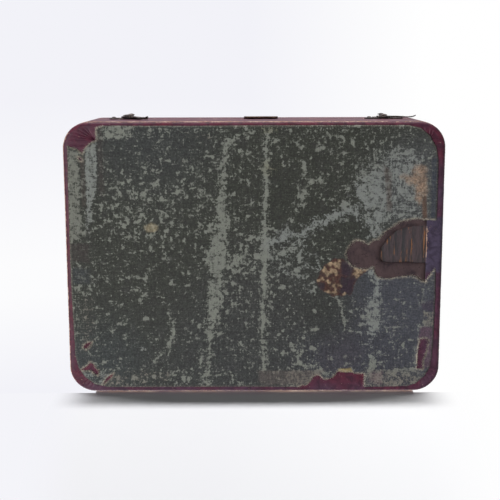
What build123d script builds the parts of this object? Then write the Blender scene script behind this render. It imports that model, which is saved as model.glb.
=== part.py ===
"""Small leather-covered snuff box with a hinged lid, two swing hooks and a torn paper underside."""

from build123d import *
import math
import os

os.makedirs("parts", exist_ok=True)

# Overall size of the closed case, without its fittings
case_width = 116.0
case_depth = 84.4
base_height = 24.0
lid_height = 12.0
corner_radius = 8.0
bottom_arris = 1.2
top_arris = 1.8
arris_chamfer_share = 0.6
seam_gap = 0.3

# Thickness of each layer
leather_thickness = 0.7
band_thickness = 3.5
floor_board_thickness = 3.0
lid_board_thickness = 3.0
paper_thickness = 0.25
base_liner_thickness = 1.2
lid_liner_thickness = 1.0
floor_pad_thickness = 2.0
lid_pad_thickness = 2.2

# Width of the leather turned in under the bottom, edge by edge
turn_in_left = 10.0
turn_in_right = 5.2
turn_in_front = 5.4
turn_in_back = 7.2
turn_in_corner = 1.5
pleat_count = 5
pleat_gap = 0.3
pleat_depth = 0.3
pleat_length = 4.2

# Margin of bare leather left round the paper panel
paper_margin_left = 1.5
paper_margin_right = 2.4
paper_margin_front = 1.3
paper_margin_back = 1.3
paper_corner = 6.6

# Tears of the paper and the break in the card: distance in from the edge that each breaks, and place along it
right_tear = [
    (0.0, -12.3),
    (7.0, -12.5),
    (13.0, -11.8),
    (16.5, -9.5),
    (20.0, -6.0),
    (23.0, -4.6),
    (26.5, -6.0),
    (29.2, -3.5),
    (29.5, 0.2),
    (26.0, 2.7),
    (21.3, 2.0),
    (19.6, 5.5),
    (15.4, 5.8),
    (9.6, 4.9),
    (5.6, 7.0),
    (2.2, 2.9),
    (0.0, 2.9),
]
corner_tear = [
    (0.0, 0.0),
    (0.0, 7.2),
    (5.0, 8.6),
    (6.2, 9.4),
    (8.0, 6.7),
    (10.3, 5.2),
    (10.3, 1.7),
    (12.5, 0.0),
]
back_tear = [
    (44.4, 0.0),
    (41.4, 2.3),
    (39.8, 4.4),
    (38.0, 5.4),
    (36.3, 4.0),
    (33.5, 4.6),
    (32.0, 6.5),
    (27.2, 6.3),
    (23.7, 6.0),
    (23.5, 0.0),
]
right_split = [
    (6.4, 25.3),
    (3.5, 25.9),
    (4.4, 29.5),
    (5.4, 33.2),
    (5.2, 34.9),
    (7.2, 34.8),
    (6.8, 28.0),
]
card_break = [
    (5.1, -10.6),
    (10.5, -10.2),
    (14.8, -8.6),
    (17.8, -5.6),
    (19.5, -0.2),
    (16.0, 1.1),
    (5.1, 1.2),
]

# Lip of the lining that stands above the rim and locates the lid
lip_height = 2.6
lip_clearance = 0.35
lip_chamfer = 0.3
liner_clearance = 0.5
pad_clearance = 0.2

# Hinges
hinge_spacing = 68.0
hinge_length = 15.0
base_knuckle_length = 4.5
knuckle_gap = 0.2
barrel_radius = 1.2
hinge_inset = 1.0
hinge_pin_radius = 0.5
running_clearance = 0.05
fixed_clearance = 0.02
leaf_thickness = 0.5
leaf_gap = 0.08
leaf_clearance = 0.2
hinge_nail_side = 0.7
hinge_nail_length = 4.0
hinge_nail_pitch = 5.0
stop_bevel_angle = 50.0

# Catches on the front edge
left_catch_inset = 17.9
right_catch_inset = 16.4
pivot_height = 20.4
hook_pitch = 7.4
left_hook_angle = -46.0
right_hook_angle = 0.0
plate_length = 12.4
plate_ear_width = 3.0
plate_thickness = 0.35
plate_nail_side = 0.6
plate_nail_head_radius = 0.75
plate_nail_head_height = 0.45
plate_nail_head_sides = 12
plate_nail_head_taper = 30.0
plate_nail_length = 2.6
plate_nail_pitch = 9.4
hook_eye_radius = 2.35
hook_thickness = 0.5
hook_gap = 0.1
hook_arm_root = 2.2
hook_arm_tip = 1.5
hook_claw_width = 0.85
hook_throat_clearance = 0.38
hook_lift_length = 1.5
hook_lift_rise = 0.55
pin_shank_radius = 0.55
left_pivot_head_radius = 1.8
right_pivot_head_radius = 1.15
stud_head_radius = 1.15
pin_head_height = 0.5
pin_head_chamfer = 0.3
stud_sides = 12
stud_taper = 25.0
pin_depth = 2.8
keeper_plate_length = 6.0
keeper_plate_width = 3.2

# Leather pull tab at the middle of the front edge
tab_x = 2.3
tab_width = 11.0
tab_thickness = 0.45
tab_glued_height = 6.4
tab_hang = 4.6
tab_stand_off = 0.32
tab_tip_radius = 3.0

# Levels and places worked out from the sizes above
case_height = base_height + lid_height
base_rim = base_height - seam_gap / 2
lid_rim = base_height + seam_gap / 2
board_bottom = paper_thickness + leather_thickness
floor_top = board_bottom + floor_board_thickness
lid_board_top = case_height - leather_thickness
lid_board_bottom = lid_board_top - lid_board_thickness
front_y = -case_depth / 2
back_y = case_depth / 2
left_x = -case_width / 2
right_x = case_width / 2
wall_thickness = leather_thickness + band_thickness
base_inner_inset = wall_thickness + base_liner_thickness
left_catch_x = left_x + left_catch_inset
right_catch_x = right_x - right_catch_inset
hinge_y = back_y - hinge_inset
hook_level = plate_thickness + hook_gap
head_level = hook_level + hook_thickness + hook_gap
claw_inner_radius = pin_shank_radius + hook_throat_clearance
claw_outer_radius = claw_inner_radius + hook_claw_width
lid_knuckle_length = hinge_length - 2 * (base_knuckle_length + knuckle_gap)
knuckle_bore_radius = hinge_pin_radius + running_clearance
leaf_inner_y = back_y - wall_thickness
leaf_outer_y = hinge_y - barrel_radius - leaf_clearance
hinge_nail_y = (leaf_inner_y + leaf_outer_y) / 2
hinge_places = [-hinge_spacing / 2, hinge_spacing / 2]
catches = [
    ("left", left_catch_x, left_hook_angle, left_pivot_head_radius),
    ("right", right_catch_x, right_hook_angle, right_pivot_head_radius),
]


def save(piece, label):
    """Name a finished piece and write it to its own file."""
    piece.label = label
    export_step(piece, f"parts/{label}.step")


def front_plane(x, z, angle=0.0):
    """A plane on the front face, looking outwards, with its x axis turned by an angle."""
    turn = math.radians(angle)
    return Plane(origin=(x, front_y, z), x_dir=(math.cos(turn), 0, math.sin(turn)), z_dir=(0, -1, 0))


def case_outline(inset, mode=Mode.ADD):
    """The rounded outline of the case, set in by a distance. Used inside a sketch."""
    radius = max(corner_radius - inset, turn_in_corner)
    return RectangleRounded(case_width - 2 * inset, case_depth - 2 * inset, radius, mode=mode)


# The room that the wooden carcass fills inside the leather, for the base and for the lid
with BuildPart() as base_core:
    with BuildSketch(Plane.XY.offset(board_bottom)):
        case_outline(leather_thickness)
    extrude(amount=base_rim - leather_thickness - board_bottom)
    base_core_arris = base_core.faces().sort_by(Axis.Z)[0].edges()
    chamfer(base_core_arris, bottom_arris - leather_thickness)

with BuildPart() as lid_core:
    with BuildSketch(Plane.XY.offset(lid_rim + leather_thickness)):
        case_outline(leather_thickness)
    extrude(amount=lid_board_top - lid_rim - leather_thickness)
    lid_core_arris = lid_core.faces().sort_by(Axis.Z)[-1].edges()
    chamfer(lid_core_arris, top_arris - leather_thickness)

# What both rims leave out for the hinges: the barrels' grooves, the leaves' beds and the stop bevel
barrel_groove_radius = barrel_radius + leaf_clearance
groove_length = hinge_length + 2 * leaf_clearance
leaf_bed_depth = leaf_gap + leaf_thickness
bevel_reach = hinge_inset + 1.0
bevel_rise = bevel_reach * math.tan(math.radians(stop_bevel_angle))
with BuildPart() as hinge_room:
    for place in hinge_places:
        with BuildSketch(Plane.YZ.offset(place - groove_length / 2)):
            with Locations((hinge_y, base_height)):
                Circle(barrel_groove_radius)
            with Locations(((leaf_inner_y + hinge_y) / 2, base_height)):
                Rectangle(hinge_y - leaf_inner_y, 2 * leaf_bed_depth)
        extrude(amount=groove_length)
    with BuildSketch(Plane.YZ.offset(left_x)):
        with BuildLine():
            Polyline(
                (hinge_y, base_height),
                (hinge_y + bevel_reach, base_height - bevel_rise),
                (hinge_y + bevel_reach, base_height + bevel_rise),
                close=True,
            )
        make_face()
    extrude(amount=case_width)

# Holes for the hinge nails, and for the pins of the catches and keepers
with BuildPart() as nail_holes:
    for place in hinge_places:
        with BuildSketch(Plane.XY.offset(base_height - hinge_nail_length - leaf_gap)):
            with Locations((place, hinge_nail_y)):
                with GridLocations(hinge_nail_pitch, 1, 3, 1):
                    Rectangle(hinge_nail_side + 2 * fixed_clearance, hinge_nail_side + 2 * fixed_clearance)
        extrude(amount=2 * (hinge_nail_length + leaf_gap))
    for side_name, x, rest_angle, head_radius in catches:
        with BuildSketch(front_plane(x, pivot_height).offset(-pin_depth)):
            Circle(pin_shank_radius + fixed_clearance)
        extrude(amount=pin_depth + plate_thickness)
        with BuildSketch(front_plane(x, pivot_height + hook_pitch).offset(-pin_depth)):
            RegularPolygon(pin_shank_radius + fixed_clearance, stud_sides)
        extrude(amount=pin_depth + plate_thickness)
        with BuildSketch(front_plane(x, pivot_height).offset(-plate_nail_length)):
            with GridLocations(plate_nail_pitch, 1, 2, 1):
                Rectangle(plate_nail_side + 2 * fixed_clearance, plate_nail_side + 2 * fixed_clearance)
        extrude(amount=plate_nail_length + plate_thickness)

# Leather skin of the base: turned in under the bottom with pleated corners, and over the rim
turn_in_width = case_width - turn_in_left - turn_in_right
turn_in_depth = case_depth - turn_in_front - turn_in_back
turn_in_centre = ((turn_in_left - turn_in_right) / 2, (turn_in_front - turn_in_back) / 2)
corner_centre_x = case_width / 2 - corner_radius
corner_centre_y = case_depth / 2 - corner_radius
pleat_radius = corner_radius - bottom_arris - pleat_length / 2
pleat_step = 90.0 / pleat_count
with BuildPart() as base_leather:
    with BuildSketch(Plane.XY.offset(paper_thickness)):
        case_outline(0)
    extrude(amount=base_rim - paper_thickness)
    chamfer(base_leather.faces().sort_by(Axis.Z)[0].edges(), bottom_arris * arris_chamfer_share)
    add(base_core.part, mode=Mode.SUBTRACT)
    with BuildSketch(Plane.XY.offset(paper_thickness)):
        with Locations(turn_in_centre):
            RectangleRounded(turn_in_width, turn_in_depth, turn_in_corner)
    extrude(amount=leather_thickness, mode=Mode.SUBTRACT)
    with BuildSketch(Plane.XY.offset(base_rim)):
        case_outline(wall_thickness)
    extrude(amount=-leather_thickness, mode=Mode.SUBTRACT)
    for quarter, (side_x, side_y) in enumerate([(1, 1), (-1, 1), (-1, -1), (1, -1)]):
        with BuildSketch(Plane.XY.offset(paper_thickness)):
            with Locations((side_x * corner_centre_x, side_y * corner_centre_y)):
                with PolarLocations(
                    pleat_radius, pleat_count, start_angle=90.0 * quarter + pleat_step / 2, angular_range=90
                ):
                    Rectangle(pleat_length, pleat_gap)
        extrude(amount=pleat_depth, mode=Mode.SUBTRACT)
    add(hinge_room.part, mode=Mode.SUBTRACT)
    add(nail_holes.part, mode=Mode.SUBTRACT)
save(base_leather.part, "base_leather")

# Wooden wall of the base, bent round in one band, with the floor board inside it
with BuildPart() as base_wall_band:
    add(base_core.part)
    with BuildSketch(Plane.XY.offset(board_bottom)):
        case_outline(wall_thickness)
    extrude(amount=base_height, mode=Mode.SUBTRACT)
    add(hinge_room.part, mode=Mode.SUBTRACT)
    add(nail_holes.part, mode=Mode.SUBTRACT)
save(base_wall_band.part, "base_wall_band")

with BuildPart() as base_floor_board:
    with BuildSketch(Plane.XY.offset(board_bottom)):
        case_outline(wall_thickness)
    extrude(amount=floor_board_thickness)
save(base_floor_board.part, "base_floor_board")

# Card that fills the bottom level with the leather's turned-in edges, broken away over the floor board
with BuildPart() as base_infill_card:
    with BuildSketch(Plane.XY.offset(paper_thickness)):
        with Locations(turn_in_centre):
            RectangleRounded(turn_in_width, turn_in_depth, turn_in_corner)
        with BuildLine():
            Polyline([(right_x - inset, y) for inset, y in card_break], close=True)
        make_face(mode=Mode.SUBTRACT)
    extrude(amount=leather_thickness)
save(base_infill_card.part, "base_infill_card")

# Paper panel of the underside. Its tears are drawn in from the edge that each one breaks.
paper_width = case_width - paper_margin_left - paper_margin_right
paper_depth = case_depth - paper_margin_front - paper_margin_back
paper_centre = ((paper_margin_left - paper_margin_right) / 2, (paper_margin_front - paper_margin_back) / 2)
with BuildPart() as base_bottom_paper:
    with BuildSketch(Plane.XY):
        with Locations(paper_centre):
            RectangleRounded(paper_width, paper_depth, paper_corner)
        # the long lobed tear that runs in from the right edge
        with BuildLine():
            Polyline([(right_x - inset, y) for inset, y in right_tear], close=True)
        make_face(mode=Mode.SUBTRACT)
        # the front left corner, gone down to the pleated leather
        with BuildLine():
            Polyline([(left_x + inset, front_y + along) for inset, along in corner_tear], close=True)
        make_face(mode=Mode.SUBTRACT)
        # the stepped tear along the back edge
        with BuildLine():
            Polyline([(right_x - along, back_y - inset) for along, inset in back_tear], close=True)
        make_face(mode=Mode.SUBTRACT)
        # the split near the back right corner
        with BuildLine():
            Polyline([(right_x - inset, y) for inset, y in right_split], close=True)
        make_face(mode=Mode.SUBTRACT)
    extrude(amount=paper_thickness)
save(base_bottom_paper.part, "base_bottom_paper")

# Lining of the base, thinned above the rim into the lip that the lid drops over
lip_top = base_height + lip_height
with BuildPart() as base_liner_band:
    with BuildSketch(Plane.XY.offset(floor_top)):
        case_outline(wall_thickness)
        case_outline(base_inner_inset, mode=Mode.SUBTRACT)
    extrude(amount=base_rim - floor_top)
    with BuildSketch(Plane.XY.offset(base_rim)):
        case_outline(wall_thickness + lip_clearance)
        case_outline(base_inner_inset, mode=Mode.SUBTRACT)
    extrude(amount=lip_top - base_rim)
    chamfer(base_liner_band.faces().sort_by(Axis.Z)[-1].edges(), lip_chamfer)
save(base_liner_band.part, "base_liner_band")

with BuildPart() as base_floor_pad:
    with BuildSketch(Plane.XY.offset(floor_top)):
        case_outline(base_inner_inset + pad_clearance)
    extrude(amount=floor_pad_thickness)
    chamfer(base_floor_pad.faces().sort_by(Axis.Z)[-1].edges(), floor_pad_thickness / 3)
save(base_floor_pad.part, "base_floor_pad")

# Leather skin of the lid, over the top and turned in over the rim
with BuildPart() as lid_leather:
    with BuildSketch(Plane.XY.offset(lid_rim)):
        case_outline(0)
    extrude(amount=case_height - lid_rim)
    chamfer(lid_leather.faces().sort_by(Axis.Z)[-1].edges(), top_arris * arris_chamfer_share)
    add(lid_core.part, mode=Mode.SUBTRACT)
    with BuildSketch(Plane.XY.offset(lid_rim)):
        case_outline(wall_thickness)
    extrude(amount=leather_thickness, mode=Mode.SUBTRACT)
    add(hinge_room.part, mode=Mode.SUBTRACT)
    add(nail_holes.part, mode=Mode.SUBTRACT)
save(lid_leather.part, "lid_leather")

with BuildPart() as lid_wall_band:
    add(lid_core.part)
    with BuildSketch(Plane.XY.offset(lid_rim)):
        case_outline(wall_thickness)
    extrude(amount=lid_height, mode=Mode.SUBTRACT)
    add(hinge_room.part, mode=Mode.SUBTRACT)
    add(nail_holes.part, mode=Mode.SUBTRACT)
save(lid_wall_band.part, "lid_wall_band")

with BuildPart() as lid_top_board:
    with BuildSketch(Plane.XY.offset(lid_board_bottom)):
        case_outline(wall_thickness)
    extrude(amount=lid_board_thickness)
save(lid_top_board.part, "lid_top_board")

lid_liner_bottom = lip_top + liner_clearance
with BuildPart() as lid_liner_band:
    with BuildSketch(Plane.XY.offset(lid_liner_bottom)):
        case_outline(wall_thickness)
        offset(amount=-lid_liner_thickness, mode=Mode.SUBTRACT)
    extrude(amount=lid_board_bottom - lid_liner_bottom)
save(lid_liner_band.part, "lid_liner_band")

with BuildPart() as lid_pad:
    with BuildSketch(Plane.XY.offset(lid_board_bottom)):
        case_outline(wall_thickness + lid_liner_thickness + pad_clearance)
    extrude(amount=-lid_pad_thickness)
    chamfer(lid_pad.faces().sort_by(Axis.Z)[0].edges(), lid_pad_thickness / 3)
save(lid_pad.part, "lid_pad")

# Pull tab: glued to the lid above the seam, hanging just clear of the base below it
tab_top = lid_rim + tab_glued_height
tab_bottom = base_rim - tab_hang
tab_bend_top = lid_rim + 0.6
tab_bend_bottom = base_rim - 0.6
with BuildPart() as pull_tab:
    with BuildSketch(Plane.YZ.offset(tab_x - tab_width / 2)):
        with BuildLine():
            Polyline(
                (front_y, tab_top),
                (front_y, tab_bend_top),
                (front_y - tab_stand_off, tab_bend_bottom),
                (front_y - tab_stand_off, tab_bottom),
                (front_y - tab_stand_off - tab_thickness, tab_bottom),
                (front_y - tab_stand_off - tab_thickness, tab_bend_bottom),
                (front_y - tab_thickness, tab_bend_top),
                (front_y - tab_thickness, tab_top),
                close=True,
            )
        make_face()
    extrude(amount=tab_width)
    tab_tip_edges = pull_tab.edges().filter_by(Axis.Y).group_by(Axis.Z)[0]
    fillet(tab_tip_edges, tab_tip_radius)
save(pull_tab.part, "pull_tab")


def knuckle_spans(place):
    """Start and length of the two base knuckles and of the lid knuckle along one hinge."""
    start = place - hinge_length / 2
    lid_start = start + base_knuckle_length + knuckle_gap
    far_start = start + hinge_length - base_knuckle_length
    base_spans = [(start, base_knuckle_length), (far_start, base_knuckle_length)]
    return base_spans, [(lid_start, lid_knuckle_length)]


def build_leaf(place, spans, side):
    """One hinge leaf: a plate let into the rim, its knuckles and its nail holes. side is 1 above the seam."""
    near = base_height + side * leaf_gap
    plate_centre = (place, (leaf_inner_y + leaf_outer_y) / 2, near + side * leaf_thickness / 2)
    with BuildPart() as leaf:
        with Locations(plate_centre):
            Box(hinge_length, leaf_outer_y - leaf_inner_y, leaf_thickness)
        for start, length in spans:
            with BuildSketch(Plane.YZ.offset(start)):
                with Locations((hinge_y, base_height)):
                    Circle(barrel_radius)
                with Locations(((leaf_outer_y + hinge_y) / 2, near + side * leaf_thickness / 2)):
                    Rectangle(hinge_y - leaf_outer_y, leaf_thickness)
            extrude(amount=length)
            with BuildSketch(Plane.YZ.offset(start)):
                with Locations((hinge_y, base_height)):
                    Circle(knuckle_bore_radius)
            extrude(amount=length, mode=Mode.SUBTRACT)
        with BuildSketch(Plane.XY.offset(near)):
            with Locations((place, hinge_nail_y)):
                with GridLocations(hinge_nail_pitch, 1, 3, 1):
                    Rectangle(hinge_nail_side + 2 * fixed_clearance, hinge_nail_side + 2 * fixed_clearance)
        extrude(amount=side * leaf_thickness, mode=Mode.SUBTRACT)
    return leaf.part


def build_hinge_nails(side):
    """The nails of both hinges on one side of the seam, flush with the leaves."""
    with BuildPart() as nails:
        for place in hinge_places:
            with BuildSketch(Plane.XY.offset(base_height + side * leaf_gap)):
                with Locations((place, hinge_nail_y)):
                    with GridLocations(hinge_nail_pitch, 1, 3, 1):
                        Rectangle(hinge_nail_side, hinge_nail_side)
            extrude(amount=side * hinge_nail_length)
    return nails.part


for side_name, place in zip(("left", "right"), hinge_places):
    base_spans, lid_spans = knuckle_spans(place)
    save(build_leaf(place, base_spans, -1), f"{side_name}_hinge_base_leaf")
    save(build_leaf(place, lid_spans, 1), f"{side_name}_hinge_lid_leaf")
    with BuildPart() as hinge_pin:
        with BuildSketch(Plane.YZ.offset(place - hinge_length / 2)):
            with Locations((hinge_y, base_height)):
                Circle(hinge_pin_radius)
        extrude(amount=hinge_length)
    save(hinge_pin.part, f"{side_name}_hinge_pin")
save(build_hinge_nails(-1), "hinge_base_nails")
save(build_hinge_nails(1), "hinge_lid_nails")


def build_headed_pin(plane, head_radius):
    """A round pin of a catch, whose chamfered head stands just above the hook."""
    with BuildPart() as pin:
        with BuildSketch(plane.offset(-pin_depth)):
            Circle(pin_shank_radius)
        extrude(amount=pin_depth + head_level)
        with BuildSketch(plane.offset(head_level)):
            Circle(head_radius)
        extrude(amount=pin_head_height)
        rim_edges = pin.edges().filter_by(GeomType.CIRCLE).group_by(Axis.Y)[0]
        chamfer(rim_edges, pin_head_chamfer)
    return pin.part


def build_stud(plane):
    """A faceted keeper stud, with a neck for the hook's claw and a head that holds the claw in."""
    with BuildPart() as stud:
        with BuildSketch(plane.offset(-pin_depth)):
            RegularPolygon(pin_shank_radius, stud_sides)
        extrude(amount=pin_depth + head_level)
        with BuildSketch(plane.offset(head_level)):
            RegularPolygon(stud_head_radius, stud_sides)
        extrude(amount=pin_head_height, taper=stud_taper)
    return stud.part


def build_hook(plane):
    """A swing hook: eye, tapered arm, a claw open towards its latching side, and a lifted tip."""
    claw_reach = hook_pitch + claw_outer_radius
    lift_radius = (hook_lift_length**2 + hook_lift_rise**2) / (2 * hook_lift_rise)
    with BuildPart() as hook:
        with BuildSketch(plane.offset(hook_level)):
            Circle(hook_eye_radius)
            with BuildLine():
                Polyline(
                    (0, hook_arm_root / 2),
                    (hook_pitch, hook_arm_tip / 2),
                    (hook_pitch, -hook_arm_tip / 2),
                    (0, -hook_arm_root / 2),
                    close=True,
                )
            make_face()
            with Locations((hook_pitch, 0)):
                Circle(claw_outer_radius)
            with Locations((hook_pitch, 0)):
                Circle(claw_inner_radius, mode=Mode.SUBTRACT)
            with Locations((hook_pitch, claw_outer_radius / 2)):
                Rectangle(2 * claw_inner_radius, claw_outer_radius, mode=Mode.SUBTRACT)
            Circle(pin_shank_radius + running_clearance, mode=Mode.SUBTRACT)
        extrude(amount=hook_thickness)
        # the tip curls away from the wall, so that a finger nail can lift it
        tip_plane = Plane(
            origin=plane.origin + plane.x_dir * (claw_reach - hook_claw_width) + plane.z_dir * hook_level,
            x_dir=plane.x_dir,
            z_dir=plane.x_dir.cross(plane.z_dir),
        )
        with BuildSketch(tip_plane.offset(-hook_arm_tip / 4)):
            with BuildLine():
                root = hook_claw_width / 2
                outer_end = root + hook_lift_length
                Line((root, 0), (root, hook_thickness))
                upper = RadiusArc(
                    (root, hook_thickness),
                    (outer_end, hook_thickness + hook_lift_rise),
                    -(lift_radius - hook_thickness),
                )
                Line(upper @ 1, (outer_end, hook_lift_rise))
                RadiusArc((outer_end, hook_lift_rise), (root, 0), lift_radius)
            make_face()
        extrude(amount=hook_arm_tip)
    return hook.part


for side_name, x, rest_angle, head_radius in catches:
    pivot_plane = front_plane(x, pivot_height)
    stud_plane = front_plane(x, pivot_height + hook_pitch)
    with BuildPart() as catch_plate:
        with BuildSketch(pivot_plane):
            Circle(hook_eye_radius)
            SlotOverall(plate_length, plate_ear_width)
            Circle(pin_shank_radius + fixed_clearance, mode=Mode.SUBTRACT)
            with GridLocations(plate_nail_pitch, 1, 2, 1):
                hole_side = plate_nail_side + 2 * fixed_clearance
                Rectangle(hole_side, hole_side, mode=Mode.SUBTRACT)
        extrude(amount=plate_thickness)
    save(catch_plate.part, f"{side_name}_catch_plate")
    save(build_headed_pin(pivot_plane, head_radius), f"{side_name}_catch_pivot")
    save(build_hook(front_plane(x, pivot_height, rest_angle)), f"{side_name}_hook")
    with BuildPart() as keeper_plate:
        with BuildSketch(stud_plane):
            Ellipse(keeper_plate_length / 2, keeper_plate_width / 2)
            RegularPolygon(pin_shank_radius + fixed_clearance, stud_sides, mode=Mode.SUBTRACT)
        extrude(amount=plate_thickness)
    save(keeper_plate.part, f"{side_name}_keeper_plate")
    save(build_stud(stud_plane), f"{side_name}_keeper_stud")

# Nails of the hook plates: headed at the free ear, flush at the ear that the hook swings over
with BuildPart() as catch_plate_nails:
    for side_name, x, rest_angle, head_radius in catches:
        with BuildSketch(front_plane(x, pivot_height).offset(-plate_nail_length)):
            with GridLocations(plate_nail_pitch, 1, 2, 1):
                Rectangle(plate_nail_side, plate_nail_side)
        extrude(amount=plate_nail_length + plate_thickness)
        with BuildSketch(front_plane(x - plate_nail_pitch / 2, pivot_height).offset(plate_thickness)):
            RegularPolygon(plate_nail_head_radius, plate_nail_head_sides)
        extrude(amount=plate_nail_head_height, taper=plate_nail_head_taper)
save(catch_plate_nails.part, "catch_plate_nails")
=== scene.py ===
import math

import bmesh
import bpy
import numpy as np
from mathutils import Matrix, Vector, geometry


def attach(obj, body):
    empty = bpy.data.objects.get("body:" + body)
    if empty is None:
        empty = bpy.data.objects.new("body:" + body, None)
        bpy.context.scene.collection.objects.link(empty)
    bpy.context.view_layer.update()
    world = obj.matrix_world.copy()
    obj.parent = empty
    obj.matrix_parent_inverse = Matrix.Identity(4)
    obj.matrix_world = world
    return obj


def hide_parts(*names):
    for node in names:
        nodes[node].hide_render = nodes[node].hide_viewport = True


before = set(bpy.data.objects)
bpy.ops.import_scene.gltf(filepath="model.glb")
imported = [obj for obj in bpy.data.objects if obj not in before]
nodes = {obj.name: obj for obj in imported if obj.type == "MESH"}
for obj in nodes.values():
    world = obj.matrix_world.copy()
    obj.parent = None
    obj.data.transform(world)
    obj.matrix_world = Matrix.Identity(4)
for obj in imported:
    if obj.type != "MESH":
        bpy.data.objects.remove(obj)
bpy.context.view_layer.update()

mm = 0.001
scene = bpy.context.scene
print("frame loaded:", len(nodes), "nodes")

# The case as the structure gives it, in millimetres
case = {
    "width": 116.0,
    "depth": 84.4,
    "baseHeight": 24.0,
    "height": 36.0,
    "cornerRadius": 8.0,
    "bottomArris": 1.2,
    "topArris": 1.8,
    "seamGap": 0.3,
    "leather": 0.7,
    "wall": 4.2,
    "paper": 0.25,
    "hingeY": 41.2,
    "hingeX": (-34.0, 34.0),
    "hingeLength": 15.0,
    "catchX": (-40.1, 41.6),
    "pivotZ": 20.4,
    "hookPitch": 7.4,
    "turnIn": (-48.0, 52.8, -36.8, 35.0),  # left, right, front and back edge of the leather's turned-in opening
}
frontY = -case["depth"] / 2
backY = case["depth"] / 2
baseRim = case["baseHeight"] - case["seamGap"] / 2
lidRim = case["baseHeight"] + case["seamGap"] / 2


# Screen colour, 0 to 255, as the linear colour that a socket takes
def srgb(red, green, blue, alpha=1.0):
    line = [c / 255.0 for c in (red, green, blue)]
    return tuple(c / 12.92 if c <= 0.04045 else ((c + 0.055) / 1.055) ** 2.4 for c in line) + (alpha,)


def smooth(low, high, value):
    t = np.clip((value - low) / (high - low), 0.0, 1.0)
    return t * t * (3.0 - 2.0 * t)


# Seeded value noise over arrays, about -1 to 1, made of smooth lattice noise of one feature size
def fieldNoise(x, y, size, seed=0.0, octaves=3):
    total = np.zeros_like(x, dtype=float)
    gain, reach = 1.0, 0.0
    for octave in range(octaves):
        u = x / size * 2 ** octave + seed * 13.7 + octave * 5.3
        v = y / size * 2 ** octave - seed * 7.9 + octave * 9.1
        iu, iv = np.floor(u), np.floor(v)
        fu, fv = u - iu, v - iv
        fu, fv = fu * fu * (3 - 2 * fu), fv * fv * (3 - 2 * fv)

        def corner(a, b):
            n = np.sin(a * 127.1 + b * 311.7 + seed * 74.7 + octave * 19.3) * 43758.5453
            return 2.0 * (n - np.floor(n)) - 1.0

        low = corner(iu, iv) * (1 - fu) + corner(iu + 1, iv) * fu
        high = corner(iu, iv + 1) * (1 - fu) + corner(iu + 1, iv + 1) * fu
        total += gain * (low * (1 - fv) + high * fv)
        reach += gain
        gain *= 0.5
    return total / reach


# A new object from points in millimetres and a list or array of faces
def makeMesh(name, points, faces, smoothShade=True):
    mesh = bpy.data.meshes.new(name)
    coords = np.asarray(points, float) * mm
    mesh.from_pydata([tuple(p) for p in coords], [], [tuple(int(i) for i in f) for f in faces])
    mesh.validate()
    mesh.update()
    if smoothShade:
        mesh.polygons.foreach_set("use_smooth", [True] * len(mesh.polygons))
    made = bpy.data.objects.new(name, mesh)
    scene.collection.objects.link(made)
    return made


def addValues(piece, name, values):
    layer = piece.data.attributes.new(name, "FLOAT", "POINT")
    layer.data.foreach_set("value", np.asarray(values, np.float32))


def rgbOf(colour):
    return np.array(srgb(*colour)[:3])


def addColours(piece, name, values):
    layer = piece.data.attributes.new(name, "FLOAT_COLOR", "POINT")
    layer.data.foreach_set("color", np.asarray(values, np.float32).ravel())


# Points on an arc about a centre, at angles in degrees; the radii along u and v may differ or be negative
def arc(u, v, radiusU, radiusV, angles):
    turns = [math.radians(a) for a in angles]
    return [(u + radiusU * math.cos(t), v + radiusV * math.sin(t)) for t in turns]


# Marks edges over an angle as sharp, so that smooth shading keeps them crisp
def sharpen(piece, angle=35.0):
    mesh = piece.data
    work = bmesh.new()
    work.from_mesh(mesh)
    limit = math.radians(angle)
    for edge in work.edges:
        edge.smooth = not (len(edge.link_faces) == 2 and edge.calc_face_angle() > limit)
    work.to_mesh(mesh)
    work.free()


def faceOutwards(piece):
    work = bmesh.new()
    work.from_mesh(piece.data)
    bmesh.ops.remove_doubles(work, verts=work.verts, dist=1e-7)
    bmesh.ops.recalc_face_normals(work, faces=work.faces)
    work.to_mesh(piece.data)
    work.free()
    return piece


# Joins finished objects into one piece that keeps the first one's name and material
def joinParts(name, parts):
    for other in bpy.context.selected_objects:
        other.select_set(False)
    for part in parts:
        part.select_set(True)
    bpy.context.view_layer.objects.active = parts[0]
    if len(parts) > 1:
        bpy.ops.object.join()
    parts[0].name = name
    parts[0].data.name = name
    parts[0].select_set(False)
    return parts[0]


# Turns a piece with modifiers into a plain mesh
def bakeModifiers(piece):
    graph = bpy.context.evaluated_depsgraph_get()
    plain = bpy.data.meshes.new_from_object(piece.evaluated_get(graph), depsgraph=graph)
    piece.modifiers.clear()
    old = piece.data
    piece.data = plain
    plain.name = piece.name
    bpy.data.meshes.remove(old)
    return piece


# Gives a finished piece its material and body, and hides the nodes it stands for; the slot it is given is not used
def settle(piece, body, material, slot, *replaced):
    piece.data.materials.clear()
    piece.data.materials.append(material)
    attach(piece, body)
    if replaced:
        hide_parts(*replaced)
    return piece


# Puts a material on a node that stays as the structure has it
def dress(nodeName, material):
    mesh = nodes[nodeName].data
    mesh.materials.clear()
    mesh.materials.append(material)


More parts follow.
